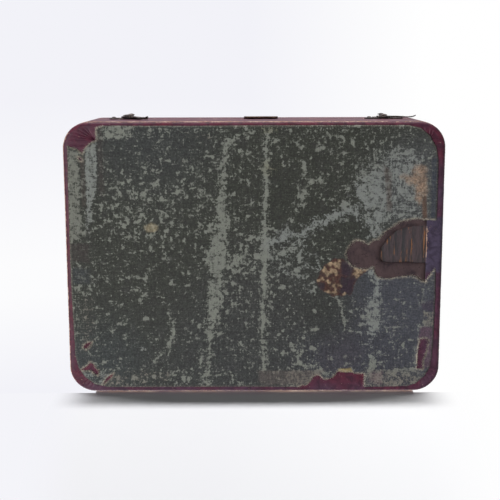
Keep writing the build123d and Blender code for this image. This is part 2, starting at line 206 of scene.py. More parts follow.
# Points, outward normals and run length round the case's outline, set in by a distance, anticlockwise from above
def roundedOutline(inset, count, minRadius=0.4):
    w, d = case["width"] / 2 - inset, case["depth"] / 2 - inset
    r = max(case["cornerRadius"] - inset, minRadius)
    arc = math.pi * r / 2
    sides = [2 * (d - r), 2 * (w - r), 2 * (d - r), 2 * (w - r)]
    centres = [(w - r, d - r), (-w + r, d - r), (-w + r, -d + r), (w - r, -d + r)]
    total = sum(sides) + 4 * arc
    points, normals, runs = [], [], []
    for k in range(count):
        run = total * k / count
        runs.append(run)
        for quarter in range(4):
            start = math.pi / 2 * quarter
            if run < sides[quarter]:
                # straight side that ends in this quarter's corner
                n = (math.cos(start), math.sin(start))
                along = (-n[1], n[0])
                far = sides[quarter] - run
                cx, cy = centres[quarter]
                points.append((cx + n[0] * r - along[0] * far, cy + n[1] * r - along[1] * far))
                normals.append(n)
                break
            run -= sides[quarter]
            if run < arc:
                angle = start + run / r
                n = (math.cos(angle), math.sin(angle))
                cx, cy = centres[quarter]
                points.append((cx + n[0] * r, cy + n[1] * r))
                normals.append(n)
                break
            run -= arc
    return np.array(points), np.array(normals), np.array(runs), total


# Places one node; sockets may be given a value or another node's output
def put(tree, kind, sockets=None, **settings):
    made = tree.nodes.new(kind)
    for name, value in settings.items():
        setattr(made, name, value)
    for key, value in (sockets or {}).items():
        if isinstance(value, bpy.types.NodeSocket):
            tree.links.new(value, made.inputs[key])
        else:
            made.inputs[key].default_value = value
    return made


def noiseOf(tree, vector, scale, detail=3.0, rough=0.55, warp=0.0):
    sockets = {"Vector": vector, "Scale": scale, "Detail": detail, "Roughness": rough, "Distortion": warp}
    return put(tree, "ShaderNodeTexNoise", sockets).outputs["Fac"]


def calc(tree, operation, first, second=0.0, clamp=False):
    return put(tree, "ShaderNodeMath", {0: first, 1: second}, operation=operation, use_clamp=clamp).outputs[0]


def times(tree, first, second, clamp=False):
    return calc(tree, "MULTIPLY", first, second, clamp)


def plus(tree, first, second):
    return calc(tree, "ADD", first, second)


def remap(tree, value, fromLow, fromHigh, toLow=0.0, toHigh=1.0, curve="SMOOTHSTEP"):
    sockets = {"Value": value, "From Min": fromLow, "From Max": fromHigh, "To Min": toLow, "To Max": toHigh}
    return put(tree, "ShaderNodeMapRange", sockets, interpolation_type=curve).outputs[0]


def mix(tree, share, first, second, mode="MIX"):
    sockets = {0: share, 6: first, 7: second}
    return put(tree, "ShaderNodeMix", sockets, data_type="RGBA", blend_type=mode).outputs[2]


def painted(tree, name, out="Fac"):
    return put(tree, "ShaderNodeAttribute", attribute_name=name).outputs[out]


def stretched(tree, vector, scale):
    return put(tree, "ShaderNodeMapping", {"Vector": vector, "Scale": scale}).outputs[0]


# Starts a shared node group with named sockets, and gives its tree, its inputs and its outputs
def startGroup(name, inputs, outputs, kind="ShaderNodeTree"):
    tree = bpy.data.node_groups.new(name, kind)
    for label, sort, value in inputs:
        socket = tree.interface.new_socket(label, in_out="INPUT", socket_type="NodeSocket" + sort)
        if value is not None:
            socket.default_value = value
    for label, sort in outputs:
        tree.interface.new_socket(label, in_out="OUTPUT", socket_type="NodeSocket" + sort)
    return tree, put(tree, "NodeGroupInput").outputs, put(tree, "NodeGroupOutput").inputs


def useGroup(tree, group, sockets):
    return put(tree, "ShaderNodeGroup", sockets, node_tree=group).outputs


# Camera at the photograph's viewing angle: it faces the underside, with the front edge at the top
view = {
    "place": (-1.31, -55.4, -302.5),
    "pitch": 9.81,
    "roll": -0.12,
    "lens": 72.0,
    "sensor": 36.0,
    "clip": (0.01, 20.0),
}


def lookFrom(place, forward, up):
    cameraData = bpy.data.cameras.new("photoCamera")
    cameraData.lens, cameraData.sensor_width = view["lens"], view["sensor"]
    cameraData.clip_start, cameraData.clip_end = view["clip"]
    camera = bpy.data.objects.new("photoCamera", cameraData)
    scene.collection.objects.link(camera)
    forward, up = Vector(forward).normalized(), Vector(up).normalized()
    side = forward.cross(up)
    turn = Matrix((side, up, -forward)).transposed().to_4x4()
    camera.matrix_world = Matrix.Translation(Vector(place) * mm) @ turn
    return camera


tilt, lean = math.radians(view["pitch"]), math.radians(view["roll"])
forward = Vector((0.0, math.sin(tilt), math.cos(tilt)))
level = Vector((0.0, -math.cos(tilt), math.sin(tilt)))
sideways = Vector((1.0, 0.0, 0.0))
scene.camera = lookFrom(view["place"], forward, level * math.cos(lean) - sideways * math.sin(lean))
scene.view_settings.view_transform = "Standard"

# Lamps, each (place, width and depth, power, colour, aim)
lamps = {
    "keyStrip": ((6.0, -660.0, 92.0), (820.0, 56.0), 5.6, (1.0, 1.0, 1.0), (0.0, 42.0, -15.0)),
    "undersideFill": ((-540.0, 110.0, -830.0), (300.0, 300.0), 8.8, (0.96, 0.975, 1.0), (0.0, 0.0, 0.0)),
    "lidFill": ((240.0, 420.0, 820.0), (600.0, 600.0), 7.4, (1.0, 1.0, 1.0), (0.0, 0.0, 12.0)),
    "backFill": ((-380.0, 620.0, 330.0), (600.0, 600.0), 5.0, (1.0, 0.99, 0.98), (0.0, 0.0, 12.0)),
}
for name, (place, size, power, colour, aim) in lamps.items():
    lamp = bpy.data.lights.new(name, "AREA")
    lamp.shape = "ELLIPSE"
    lamp.size, lamp.size_y = size[0] * mm, size[1] * mm
    lamp.energy = power
    lamp.color = colour
    holder = bpy.data.objects.new(name, lamp)
    scene.collection.objects.link(holder)
    holder.location = Vector(place) * mm
    holder.rotation_euler = (Vector(aim) - Vector(place)).to_track_quat("-Z", "Y").to_euler()

# Backdrop round the stage: the level of the world's own light, and its colours and where they fade; the fades are
# painted light
studio = {
    "ambient": 0.09,
    "pale": (242, 242, 248),
    "white": (255, 255, 255),
    "rightFade": (0.0, 0.17, 0.0, 1.0),
    "upperFade": (0.02, 0.18, 0.0, 0.75),
    "horizonFade": (0.21, 0.3, 1.0, 0.0),
}


# World: near white where the camera, gloss and glass look, and a plain light level for everything else
def makeWorld():
    world = bpy.data.worlds.new("paleStudio")
    scene.world = world
    world.use_nodes = True
    tree = world.node_tree
    tree.nodes.clear()
    rays = put(tree, "ShaderNodeLightPath").outputs
    looks = calc(tree, "MAXIMUM", rays["Is Camera Ray"], rays["Is Glossy Ray"])
    looks = calc(tree, "MAXIMUM", looks, rays["Is Transmission Ray"])
    # painted light on the backdrop: pale at the top and at the table's far edge, nearly white between, and white
    # towards the right
    where = put(tree, "ShaderNodeTexCoord").outputs["Generated"]
    split = put(tree, "ShaderNodeSeparateXYZ", {0: where}).outputs
    right = remap(tree, split["X"], *studio["rightFade"], "LINEAR")
    upper = remap(tree, split["Y"], *studio["upperFade"], "LINEAR")
    horizon = remap(tree, split["Y"], *studio["horizonFade"], "LINEAR")
    whiteness = calc(tree, "MAXIMUM", right, times(tree, upper, horizon))
    tint = mix(tree, whiteness, srgb(*studio["pale"]), srgb(*studio["white"]))
    seen = put(tree, "ShaderNodeBackground", {"Color": tint})
    lit = put(tree, "ShaderNodeBackground", {"Color": (1.0, 1.0, 1.0, 1.0), "Strength": studio["ambient"]})
    choose = put(tree, "ShaderNodeMixShader", {"Fac": looks, 1: lit.outputs[0], 2: seen.outputs[0]})
    put(tree, "ShaderNodeOutputWorld", {"Surface": choose.outputs[0]})


makeWorld()

# The floor below the standing box, seen from above, and the pale table that the photographed side rests against
stage = {
    "reach": 1500.0,
    "floorLevel": -0.06,
    "tableLevel": 42.45,
    "tableGap": 0.01,
    "tongueHalf": 50.0,  # the table runs on under the box as a short tongue, so that the floor hides its edge
    "tongueTop": 6.0,
    "lighterFrom": -10.0,
    "lighterTo": 70.0,
}
# Each sheet's colour, its colour towards the right (lighter on the table, as painted light), its plain colour far
# off, and how and where it turns plain
floorSheet = ((236, 236, 237), (236, 236, 237), (250, 250, 251), (1.0, 1.0, 1.0), 100.0, 230.0)
tableSheet = ((240, 240, 243), (252, 252, 253), (244, 244, 249), (1.0, 0.0, 0.35), 48.0, 63.0)


# A stage sheet shows only its front, and only to the camera, so that it never hides or lights the object
def stageSheet(name, points, faces, materialName, sheet):
    colour, rightColour, plainColour, stretch, plainFrom, plainTo = sheet
    made = bpy.data.materials.new(materialName)
    made.use_nodes = True
    tree = made.node_tree
    tree.nodes.clear()
    where = put(tree, "ShaderNodeTexCoord").outputs["Object"]
    across = put(tree, "ShaderNodeSeparateXYZ", {0: where}).outputs["X"]
    # the sheet and its plain colour far off turn lighter towards the right, as painted light
    fade = remap(tree, across, stage["lighterFrom"] * mm, stage["lighterTo"] * mm, curve="LINEAR")
    cloth = put(tree, "ShaderNodeBsdfDiffuse", {"Color": mix(tree, fade, srgb(*colour), srgb(*rightColour))})
    # away from the object the sheet turns into plain backdrop, so that it has no far edge
    scaled = put(tree, "ShaderNodeVectorMath", {0: where, 1: stretch}, operation="MULTIPLY").outputs[0]
    away = put(tree, "ShaderNodeVectorMath", {0: scaled}, operation="LENGTH").outputs["Value"]
    lose = remap(tree, away, plainFrom * mm, plainTo * mm)
    paleness = mix(tree, fade, srgb(*plainColour), srgb(*studio["white"]))
    plain = put(tree, "ShaderNodeEmission", {"Color": paleness})
    cover = put(tree, "ShaderNodeMixShader", {"Fac": lose, 1: cloth.outputs[0], 2: plain.outputs[0]})
    clear = put(tree, "ShaderNodeBsdfTransparent")
    front = calc(tree, "SUBTRACT", 1.0, put(tree, "ShaderNodeNewGeometry").outputs["Backfacing"])
    shown = times(tree, put(tree, "ShaderNodeLightPath").outputs["Is Camera Ray"], front)
    choose = put(tree, "ShaderNodeMixShader", {"Fac": shown, 1: clear.outputs[0], 2: cover.outputs[0]})
    put(tree, "ShaderNodeOutputMaterial", {"Surface": choose.outputs[0]})
    piece = makeMesh(name, points, faces)
    piece.data.materials.append(made)
    return piece


reach, tongue, tableLevel = stage["reach"], stage["tongueHalf"], stage["tableLevel"]
tableEnd = stage["floorLevel"] - stage["tableGap"]
corners = [(-reach, -reach), (reach, -reach), (reach, reach), (-reach, reach)]
floorUnder = stageSheet(
    "floorUnder", [(x, y, stage["floorLevel"]) for x, y in corners], [(0, 1, 2, 3)], "paleFloor", floorSheet
)
edge = [(-reach, -reach), (reach, -reach), (reach, tableEnd), (-reach, tableEnd)]
edge += [(-tongue, tableEnd), (tongue, tableEnd), (tongue, stage["tongueTop"]), (-tongue, stage["tongueTop"])]
photoTable = stageSheet(
    "photoTable", [(x, tableLevel, z) for x, z in edge], [(0, 1, 2, 5, 4, 3), (4, 5, 6, 7)], "paleTable", tableSheet
)
print("camera, lamps and stage placed")


# Flaked wear: a share of the surface, from 0 to 1, that shows as ragged flecks of one size
def makeFlakedWear():
    tree, given, out = startGroup(
        "flakedWear",
        [("Vector", "Vector", None), ("Share", "Float", 0.2), ("Fleck", "Float", 900.0), ("Crisp", "Float", 0.1)],
        [("Mask", "Float"), ("Field", "Float")],
    )
    broad = noiseOf(tree, given["Vector"], given["Fleck"], 5.0, 0.62, 0.35)
    fineScale = times(tree, given["Fleck"], 3.1)
    fine = noiseOf(tree, given["Vector"], fineScale, 3.0, 0.6, 0.2)
    field = plus(tree, times(tree, broad, 0.72), times(tree, fine, 0.28))
    # the noise keeps close to one half, so the share is turned into a level in that narrow band
    level = remap(tree, given["Share"], 0.0, 1.0, 0.70, 0.34, "LINEAR")
    low = calc(tree, "SUBTRACT", level, given["Crisp"])
    high = plus(tree, level, given["Crisp"])
    mask = remap(tree, field, low, high)
    tree.links.new(mask, out["Mask"])
    tree.links.new(field, out["Field"])
    return tree


# Grain of turned leather: fine pebbles between longer folds, as a height and a tone
def makeLeatherGrain():
    tree, given, out = startGroup(
        "leatherGrain",
        [("Vector", "Vector", None), ("Pebble", "Float", 2600.0), ("Fold", "Float", 500.0)],
        [("Height", "Float"), ("Tone", "Float")],
    )
    cells = put(
        tree, "ShaderNodeTexVoronoi", {"Vector": given["Vector"], "Scale": given["Pebble"]}
    ).outputs["Distance"]
    folds = noiseOf(tree, given["Vector"], given["Fold"], 4.0, 0.6, 0.8)
    pores = noiseOf(tree, given["Vector"], times(tree, given["Pebble"], 2.3), 2.0)
    height = plus(tree, times(tree, cells, 0.45), times(tree, folds, 0.9))
    height = plus(tree, height, times(tree, pores, 0.25))
    tree.links.new(height, out["Height"])
    tree.links.new(remap(tree, folds, 0.3, 0.7), out["Tone"])
    return tree


# Grime: soft clouds with small dark specks
def makeGrime():
    tree, given, out = startGroup(
        "grime",
        [("Vector", "Vector", None), ("Cloud", "Float", 90.0), ("Speck", "Float", 1500.0)],
        [("Clouds", "Float"), ("Specks", "Float")],
    )
    clouds = noiseOf(tree, given["Vector"], given["Cloud"], 4.0, 0.6, 0.4)
    specks = noiseOf(tree, given["Vector"], given["Speck"], 2.0, 0.5)
    tree.links.new(remap(tree, clouds, 0.35, 0.68), out["Clouds"])
    tree.links.new(remap(tree, specks, 0.62, 0.72), out["Specks"])
    return tree


flakedWear = makeFlakedWear()
leatherGrain = makeLeatherGrain()
grime = makeGrime()


# Mask, from 0 to 1, of ragged flecks that lie over a share of the surface
def flecksOf(tree, where, share, fleck, crisp):
    return useGroup(tree, flakedWear, {"Vector": where, "Share": share, "Fleck": fleck, "Crisp": crisp})["Mask"]


def grimeOf(tree, where, cloud, speck):
    dirt = useGroup(tree, grime, {"Vector": where, "Cloud": cloud, "Speck": speck})
    return dirt["Clouds"], dirt["Specks"]


def startMaterial(name):
    made = bpy.data.materials.new(name)
    made.use_nodes = True
    tree = made.node_tree
    shader = tree.nodes["Principled BSDF"]
    where = tree.nodes.new("ShaderNodeTexCoord").outputs["Object"]
    return made, tree, shader, where


def bumpUp(tree, shader, height, distance, strength=1.0):
    bump = put(tree, "ShaderNodeBump", {"Height": height, "Distance": distance * mm, "Strength": strength})
    tree.links.new(bump.outputs[0], shader.inputs["Normal"])


shaderInputs = {
    "colour": "Base Color",
    "rough": "Roughness",
    "metal": "Metallic",
    "gloss": "Specular IOR Level",
    "sheen": "Sheen Weight",
    "sheenRough": "Sheen Roughness",
}


def feed(tree, shader, **sockets):
    for key, value in sockets.items():
        label = shaderInputs[key]
        if isinstance(value, bpy.types.NodeSocket):
            tree.links.new(value, shader.inputs[label])
        else:
            shader.inputs[label].default_value = value


# Maroon leather, rubbed to tan and cream where the painted wear is high
def leatherFinish(name, finish):
    made, tree, shader, where = startMaterial(name)
    grain = useGroup(tree, leatherGrain, {"Vector": where, "Pebble": finish["pebble"], "Fold": finish["fold"]})
    clouds, specks = grimeOf(tree, where, 70.0, 1300.0)
    skin = mix(tree, grain["Tone"], finish["deep"], finish["bright"])
    skin = mix(tree, times(tree, clouds, 0.45), skin, finish["dull"])
    # the skin turns purple-grey as far as the painted attribute says, deepest where the tear bares the leather
    greyTone = mix(tree, grain["Tone"], finish["greyedDeep"], finish["greyed"])
    skin = mix(tree, painted(tree, "greyed"), skin, greyTone)
    worn = flecksOf(tree, where, painted(tree, "worn"), finish["fleck"], 0.035)
    hideTone = remap(tree, noiseOf(tree, where, 420.0, 3.0), 0.36, 0.62)
    hide = mix(tree, hideTone, finish["tan"], finish["cream"])
    scuff = flecksOf(tree, where, finish["scuff"], 700.0, 0.05)
    colour = mix(tree, times(tree, scuff, 0.5), skin, finish["scuffed"])
    colour = mix(tree, worn, colour, hide)
    colour = mix(tree, times(tree, specks, 0.4), colour, finish["speck"])
    feed(tree, shader, colour=colour, rough=remap(tree, worn, 0.0, 1.0, finish["gloss"], 0.86), gloss=0.2)
    height = calc(tree, "SUBTRACT", grain["Height"], times(tree, worn, 0.6))
    bumpUp(tree, shader, height, 0.09, 0.8)
    return made


maroonLeather = leatherFinish(
    "maroonLeather",
    {
        "pebble": 1700.0,
        "fold": 420.0,
        "fleck": 1250.0,
        "deep": srgb(52, 10, 26),
        "bright": srgb(94, 24, 40),
        "dull": srgb(74, 42, 58),
        "greyedDeep": srgb(46, 40, 54),
        "greyed": srgb(74, 68, 88),
        "tan": srgb(150, 112, 92),
        "cream": srgb(202, 176, 158),
        "scuff": 0.13,
        "scuffed": srgb(128, 92, 100),
        "speck": srgb(40, 26, 34),
        "gloss": 0.52,
    },
)
tabLeather = leatherFinish(
    "tabLeather",
    {
        "pebble": 2400.0,
        "fold": 700.0,
        "fleck": 1400.0,
        "deep": srgb(38, 24, 28),
        "bright": srgb(66, 42, 46),
        "dull": srgb(60, 50, 52),
        "greyedDeep": srgb(40, 34, 38),
        "greyed": srgb(70, 60, 62),
        "tan": srgb(120, 92, 74),
        "cream": srgb(150, 126, 104),
        "scuff": 0.25,
        "scuffed": srgb(92, 74, 72),
        "speck": srgb(24, 18, 20),
        "gloss": 0.5,
    },
)


# Fine weave pressed into bookcloth and its lining paper: threads both ways, with slubs
def makeWeave():
    tree, given, out = startGroup(
        "pressedWeave",
        [("Vector", "Vector", None), ("Threads", "Float", 1500.0), ("Uneven", "Float", 0.35)],
        [("Threads", "Float"), ("Slubs", "Float")],
    )

    def bothWays(thin, scale, detail, rough):
        sizes = ((1.0, thin, 1.0), (thin, 1.0, 1.0))
        return [noiseOf(tree, stretched(tree, given["Vector"], size), scale, detail, rough) for size in sizes]

    ways = bothWays(0.16, given["Threads"], 2.0, 0.5)
    slubs = bothWays(0.3, times(tree, given["Threads"], 0.34), 3.0, 0.6)
    pressed = plus(tree, times(tree, ways[0], 0.5), times(tree, ways[1], 0.5))
    thick = calc(tree, "MAXIMUM", slubs[0], slubs[1])
    uneven = times(tree, calc(tree, "SUBTRACT", thick, 0.5), given["Uneven"])
    tree.links.new(plus(tree, pressed, uneven), out["Threads"])
    tree.links.new(thick, out["Slubs"])
    return tree


pressedWeave = makeWeave()


# Dark lining paper: its ground and its flake colour are painted, and flakes lie as thick as the painted wear says
def paperFinish(finish):
    made, tree, shader, where = startMaterial("abradedPaper")
    ground = painted(tree, "ground", "Color")
    flake = painted(tree, "flake", "Color")
    share = painted(tree, "worn")
    weave = useGroup(tree, pressedWeave, {"Vector": where, "Threads": finish["threads"], "Uneven": 0.5})
    # the threads catch the wear first, so they lift the painted share before it is broken into flakes
    lifted = times(tree, calc(tree, "SUBTRACT", weave["Threads"], 0.5), finish["threadPull"])
    broken = plus(tree, share, lifted)
    flakes = flecksOf(tree, where, broken, finish["fleck"], 0.035)
    thin = times(tree, broken, 0.9)
    specks = flecksOf(tree, where, thin, finish["speck"], 0.05)
    mottle = remap(tree, noiseOf(tree, where, 1900.0, 3.0, 0.65), 0.34, 0.68, 0.7, 1.36)
    mottle = times(tree, mottle, remap(tree, weave["Threads"], 0.36, 0.64, 0.84, 1.16))
    grey = put(tree, "ShaderNodeCombineColor", {0: mottle, 1: mottle, 2: mottle}).outputs[0]
    dark = mix(tree, 1.0, ground, grey, "MULTIPLY")
    colour = mix(tree, times(tree, specks, finish["speckShare"]), dark, flake)
    softer = remap(tree, noiseOf(tree, where, 2600.0, 2.0), 0.3, 0.7, 0.66, 1.0)
    colour = mix(tree, times(tree, flakes, softer), colour, flake)
    stainNoise = remap(tree, noiseOf(tree, where, 520.0, 4.0, 0.6, 0.4), 0.34, 0.6)
    uneven = remap(tree, stainNoise, 0.0, 1.0, 0.6, 1.0, "LINEAR")
    stained = times(tree, painted(tree, "stainShare"), uneven, clamp=True)
    stain = mix(tree, 1.0, painted(tree, "stain", "Color"), grey, "MULTIPLY")
    colour = mix(tree, stained, colour, stain)
    fibreNoise = remap(tree, noiseOf(tree, where, 1800.0, 3.0), 0.36, 0.6)
    colour = mix(tree, times(tree, painted(tree, "fibre"), fibreNoise, clamp=True), colour, finish["fibre"])
    feed(tree, shader, colour=colour, rough=remap(tree, flakes, 0.0, 1.0, 0.78, 0.93), gloss=0.25)
    height = plus(tree, weave["Threads"], times(tree, flakes, -0.5))
    bumpUp(tree, shader, height, 0.06, 0.7)
    return made


abradedPaper = paperFinish(
    {
        "threads": 2300.0,
        "threadPull": 0.75,
        "fleck": 620.0,
        "speck": 1500.0,
        "speckShare": 0.6,
        "fibre": srgb(168, 158, 142),
    }
)


# Brown card under the paper, with glue marks
def cardFinish(name, deep, light, fibre, speck):
    made, tree, shader, where = startMaterial(name)
    clouds, specks = grimeOf(tree, where, 160.0, 1400.0)
    fibres = noiseOf(tree, stretched(tree, where, (1.0, 0.35, 1.0)), 1500.0, 4.0, 0.65)
    blotch = remap(tree, noiseOf(tree, where, 330.0, 4.0, 0.6), 0.38, 0.62)
    colour = mix(tree, calc(tree, "MAXIMUM", clouds, blotch), deep, light)
    colour = mix(tree, remap(tree, fibres, 0.35, 0.7, 0.0, 0.5), colour, fibre)
    colour = mix(tree, times(tree, specks, 0.6), colour, speck)
    feed(tree, shader, colour=colour, rough=remap(tree, fibres, 0.3, 0.7, 0.72, 0.92), gloss=0.25)
    bumpUp(tree, shader, fibres, 0.05, 0.6)
    return made


brownCard = cardFinish("brownCard", srgb(42, 32, 36), srgb(76, 60, 60), srgb(88, 72, 72), srgb(28, 22, 26))
tornPaper = cardFinish("tornPaper", srgb(150, 142, 126), srgb(196, 188, 170), srgb(214, 206, 190), srgb(110, 98, 84))


# Softwood: growth lines along X or across, with open pores; the underside of the floor board is stained dark
def woodFinish(name, light, dark, pitch, across, stainDeep=None):
    made, tree, shader, where = startMaterial(name)
    line = stretched(tree, where, across)
    rings = noiseOf(tree, line, pitch, 4.0, 0.55, 0.5)
    pores = noiseOf(tree, stretched(tree, where, tuple(a * 1.6 for a in across)), pitch * 4.0, 3.0, 0.6)
    colour = mix(tree, remap(tree, rings, 0.36, 0.64), dark, light)
    colour = mix(tree, remap(tree, pores, 0.56, 0.72, 0.0, 0.7), colour, dark)
    if stainDeep:
        flecks = flecksOf(tree, line, 0.33, 420.0, 0.03)
        colour = mix(tree, times(tree, flecks, 0.8), colour, stainDeep)
    feed(tree, shader, colour=colour, rough=remap(tree, pores, 0.3, 0.7, 0.6, 0.85))
    bumpUp(tree, shader, rings, 0.12, 0.6)
    return made


bandWood = woodFinish("bandWood", srgb(196, 160, 116), srgb(142, 104, 66), 240.0, (0.25, 0.25, 2.4))
boardWood = woodFinish("boardWood", srgb(60, 46, 48), srgb(14, 10, 14), 620.0, (2.4, 0.2, 1.0), srgb(140, 92, 50))
lidWood = woodFinish("lidWood", srgb(188, 152, 108), srgb(136, 100, 64), 300.0, (0.2, 2.0, 1.0))


# Blackened brass, bright where hands and the hook have rubbed it
def brassFinish(name, dark, warm, bright, rubbed):
    made, tree, shader, where = startMaterial(name)
    clouds, specks = grimeOf(tree, where, 420.0, 2600.0)
    wear = flecksOf(tree, where, rubbed, 1500.0, 0.04)
    scratch = noiseOf(tree, stretched(tree, where, (6.0, 1.0, 0.5)), 900.0, 3.0, 0.6)
    colour = mix(tree, clouds, dark, warm)
    colour = mix(tree, wear, colour, bright)
    colour = mix(tree, times(tree, specks, 0.7), colour, dark)
    brushed = remap(tree, scratch, 0.3, 0.7, 0.46, 0.64)
    rough = calc(tree, "SUBTRACT", brushed, times(tree, wear, 0.16))
    feed(tree, shader, colour=colour, rough=rough, metal=remap(tree, wear, 0.0, 1.0, 0.72, 1.0))
    bumpUp(tree, shader, plus(tree, scratch, times(tree, clouds, 0.7)), 0.03, 0.5)
    return made


darkBrass = brassFinish("darkBrass", srgb(50, 42, 44), srgb(84, 72, 66), srgb(176, 164, 150), 0.24)
pinBrass = brassFinish("pinBrass", srgb(112, 88, 58), srgb(150, 120, 78), srgb(206, 178, 128), 0.35)


# Short pile or woven silk of the linings, with a nap that turns lighter at a glance
def clothFinish(name, deep, light, thread, sheen, tint):
    made, tree, shader, where = startMaterial(name)
    nap = noiseOf(tree, where, 160.0, 4.0, 0.6, 0.6)
    pile = noiseOf(tree, where, thread, 2.0, 0.6)
    clouds = grimeOf(tree, where, 60.0, 900.0)[0]
    colour = mix(tree, remap(tree, nap, 0.28, 0.72, 0.38, 0.74), deep, light)
    colour = mix(tree, times(tree, clouds, 0.18), colour, tint)
    colour = mix(tree, remap(tree, pile, 0.3, 0.7, 0.0, 0.35), colour, deep)
    rough = remap(tree, nap, 0.3, 0.7, 0.7, 0.95)
    feed(tree, shader, colour=colour, rough=rough, sheen=sheen, sheenRough=0.4)
    bumpUp(tree, shader, plus(tree, pile, times(tree, nap, 0.6)), 0.08, 0.6)
    return made


maroonVelvet = clothFinish("maroonVelvet", srgb(58, 16, 30), srgb(108, 34, 52), 5200.0, 0.55, srgb(84, 44, 50))
creamSatin = clothFinish("creamSatin", srgb(176, 154, 122), srgb(222, 204, 172), 3600.0, 0.25, srgb(150, 124, 92))
print("finishes made")

# The leather skins: one closed strip of leather swept round the case, for the base and for the lid
skin = {
    "columns": 1640,
    "ridgePitch": 0.943,
    "ridgeDepth": 0.06,
    "pleats": 7,
    "pleatDepth": 0.24,
    "rimRound": 0.3,
    "rimInsets": (0.55, 0.8, 1.0, 1.25, 1.5, 1.8, 2.1, 2.4, 2.75, 3.2, 3.7, 4.2),
    "wallRows": 8,
    "arrisRows": 6,
    "lidWallRows": 5,
    "hingeClearance": 0.2,
    "grooveRadius": 1.4,
    "bedDepth": 0.58,
    "bedWidth": 3.3,
    "bevelAngle": 50.0,
    "topSpacing": 1.9,
    "topInset": 2.6,
    "topCorner": 5.4,
}
rim, outwards, runs, around = roundedOutline(0.0, skin["columns"])


# The edge of the leather's turned-in opening; the leather was cut wider towards the back right corner
def openingAt(y):
    left, right, front, back = case["turnIn"]
    return left, right - 2.3 * smooth(13.0, 24.0, y), front, back


# How far the rims stay away from the seam's middle plane: the plain gap, the stop bevel and the hinges' beds
def seamRoom(x, y):
    across = y - case["hingeY"]
    room = np.maximum(case["seamGap"] / 2, across * math.tan(math.radians(skin["bevelAngle"])))
    groove = np.sqrt(np.maximum(skin["grooveRadius"] ** 2 - across ** 2, 0.0))
    bed = np.where((across > -skin["bedWidth"]) & (across <= 0.0), skin["bedDepth"], 0.0)
    for place in case["hingeX"]:
        near = np.abs(x - place) <= case["hingeLength"] / 2 + skin["hingeClearance"]
        room = np.where(near, np.maximum(room, np.maximum(groove, bed)), room)
    return room


def inward(distance):
    return rim - outwards * np.reshape(distance, (-1, 1))


# Long-grain ridges run up the wall; they fade and shift a little along their length
def ridges(height):
    shift = 0.22 * fieldNoise(runs, np.full_like(runs, height), 4.5, 3.0)
    wave = 0.5 + 0.5 * np.cos(2 * math.pi * (runs / skin["ridgePitch"] + shift))
    strength = 0.55 + 0.45 * fieldNoise(runs, np.full_like(runs, height), 7.0, 8.0)
    return skin["ridgeDepth"] * wave * strength


# Cornerwise pleats: each rises slowly and drops at its fold
def pleats():
    angle = np.degrees(np.arctan2(outwards[:, 1], outwards[:, 0])) % 90.0
    inCorner = (angle > 1e-6) & (angle < 90.0 - 1e-6)
    place = angle / 90.0 * skin["pleats"] + 0.18 * fieldNoise(angle, rim[:, 0], 11.0, 2.0)
    fold = (place % 1.0) ** 2.2
    fade = smooth(0.0, 8.0, angle) * smooth(0.0, 8.0, 90.0 - angle)
    return np.where(inCorner, fold * fade, 0.0)


# Wear of the arrises, from 0 to 1, round the case: cream on the left and front, spotted on the right
def arrisWear(x, y):
    left = smooth(-54.5, -57.4, x)
    right = smooth(55.0, 57.6, x)
    front = smooth(-39.5, -42.0, y)
    back = smooth(39.5, 42.0, y)
    patchy = fieldNoise(x + y * 0.3, y, 9.0, 5.0)
    spots = smooth(0.15, 0.5, fieldNoise(x, y, 5.0, 11.0, 2)) * 0.6 + smooth(18.0, 30.0, y) * 0.45
    wear = left * (0.86 + 0.16 * patchy)
    wear = np.maximum(wear, front * (0.70 + 0.25 * patchy - 0.18 * smooth(10.0, 40.0, x)))
    wear = np.maximum(wear, back * (0.52 + 0.3 * patchy))
    return np.clip(np.maximum(wear, right * spots), 0.0, 1.0)


# Greying of the leather towards purple-grey: deep where the tear bares it, lighter along the right and the back
def greyingOf(points):
    x, y, z = points.T
    bared = smooth(50.0, 52.0, x) * smooth(-14.5, -12.5, y) * smooth(5.5, 3.5, y) * smooth(1.2, 0.4, z)
    patchy = fieldNoise(x, y + z, 6.0, 12.0)
    right = smooth(50.5, 53.0, x) * smooth(-36.0, -24.0, y) * (0.5 + 0.3 * patchy) * smooth(24.0, 6.0, z)
    back = smooth(37.0, 41.0, y) * (0.34 + 0.3 * patchy)
    return np.clip(np.maximum(np.maximum(bared * 0.92, right), np.maximum(back, 0.12 + 0.14 * patchy)), 0, 1)


def row(xy, z):
    return np.column_stack([xy, np.broadcast_to(z, len(xy))])


# Rows of points and their wear, and the function that lays one more row of both
def startRows():
    rows, worn = [], []

    def lay(xy, z, wear):
        rows.append(row(xy, z))
        worn.append(np.clip(np.broadcast_to(wear, len(xy)), 0, 1))

    return rows, worn, lay


# Quads between rows of points that each run once round the case; pairs give the rows' first points
def sweptFaces(pairs):
    step = np.arange(skin["columns"])
    following = (step + 1) % skin["columns"]
    return [np.stack([low + step, low + following, high + following, high + step], 1) for low, high in pairs]


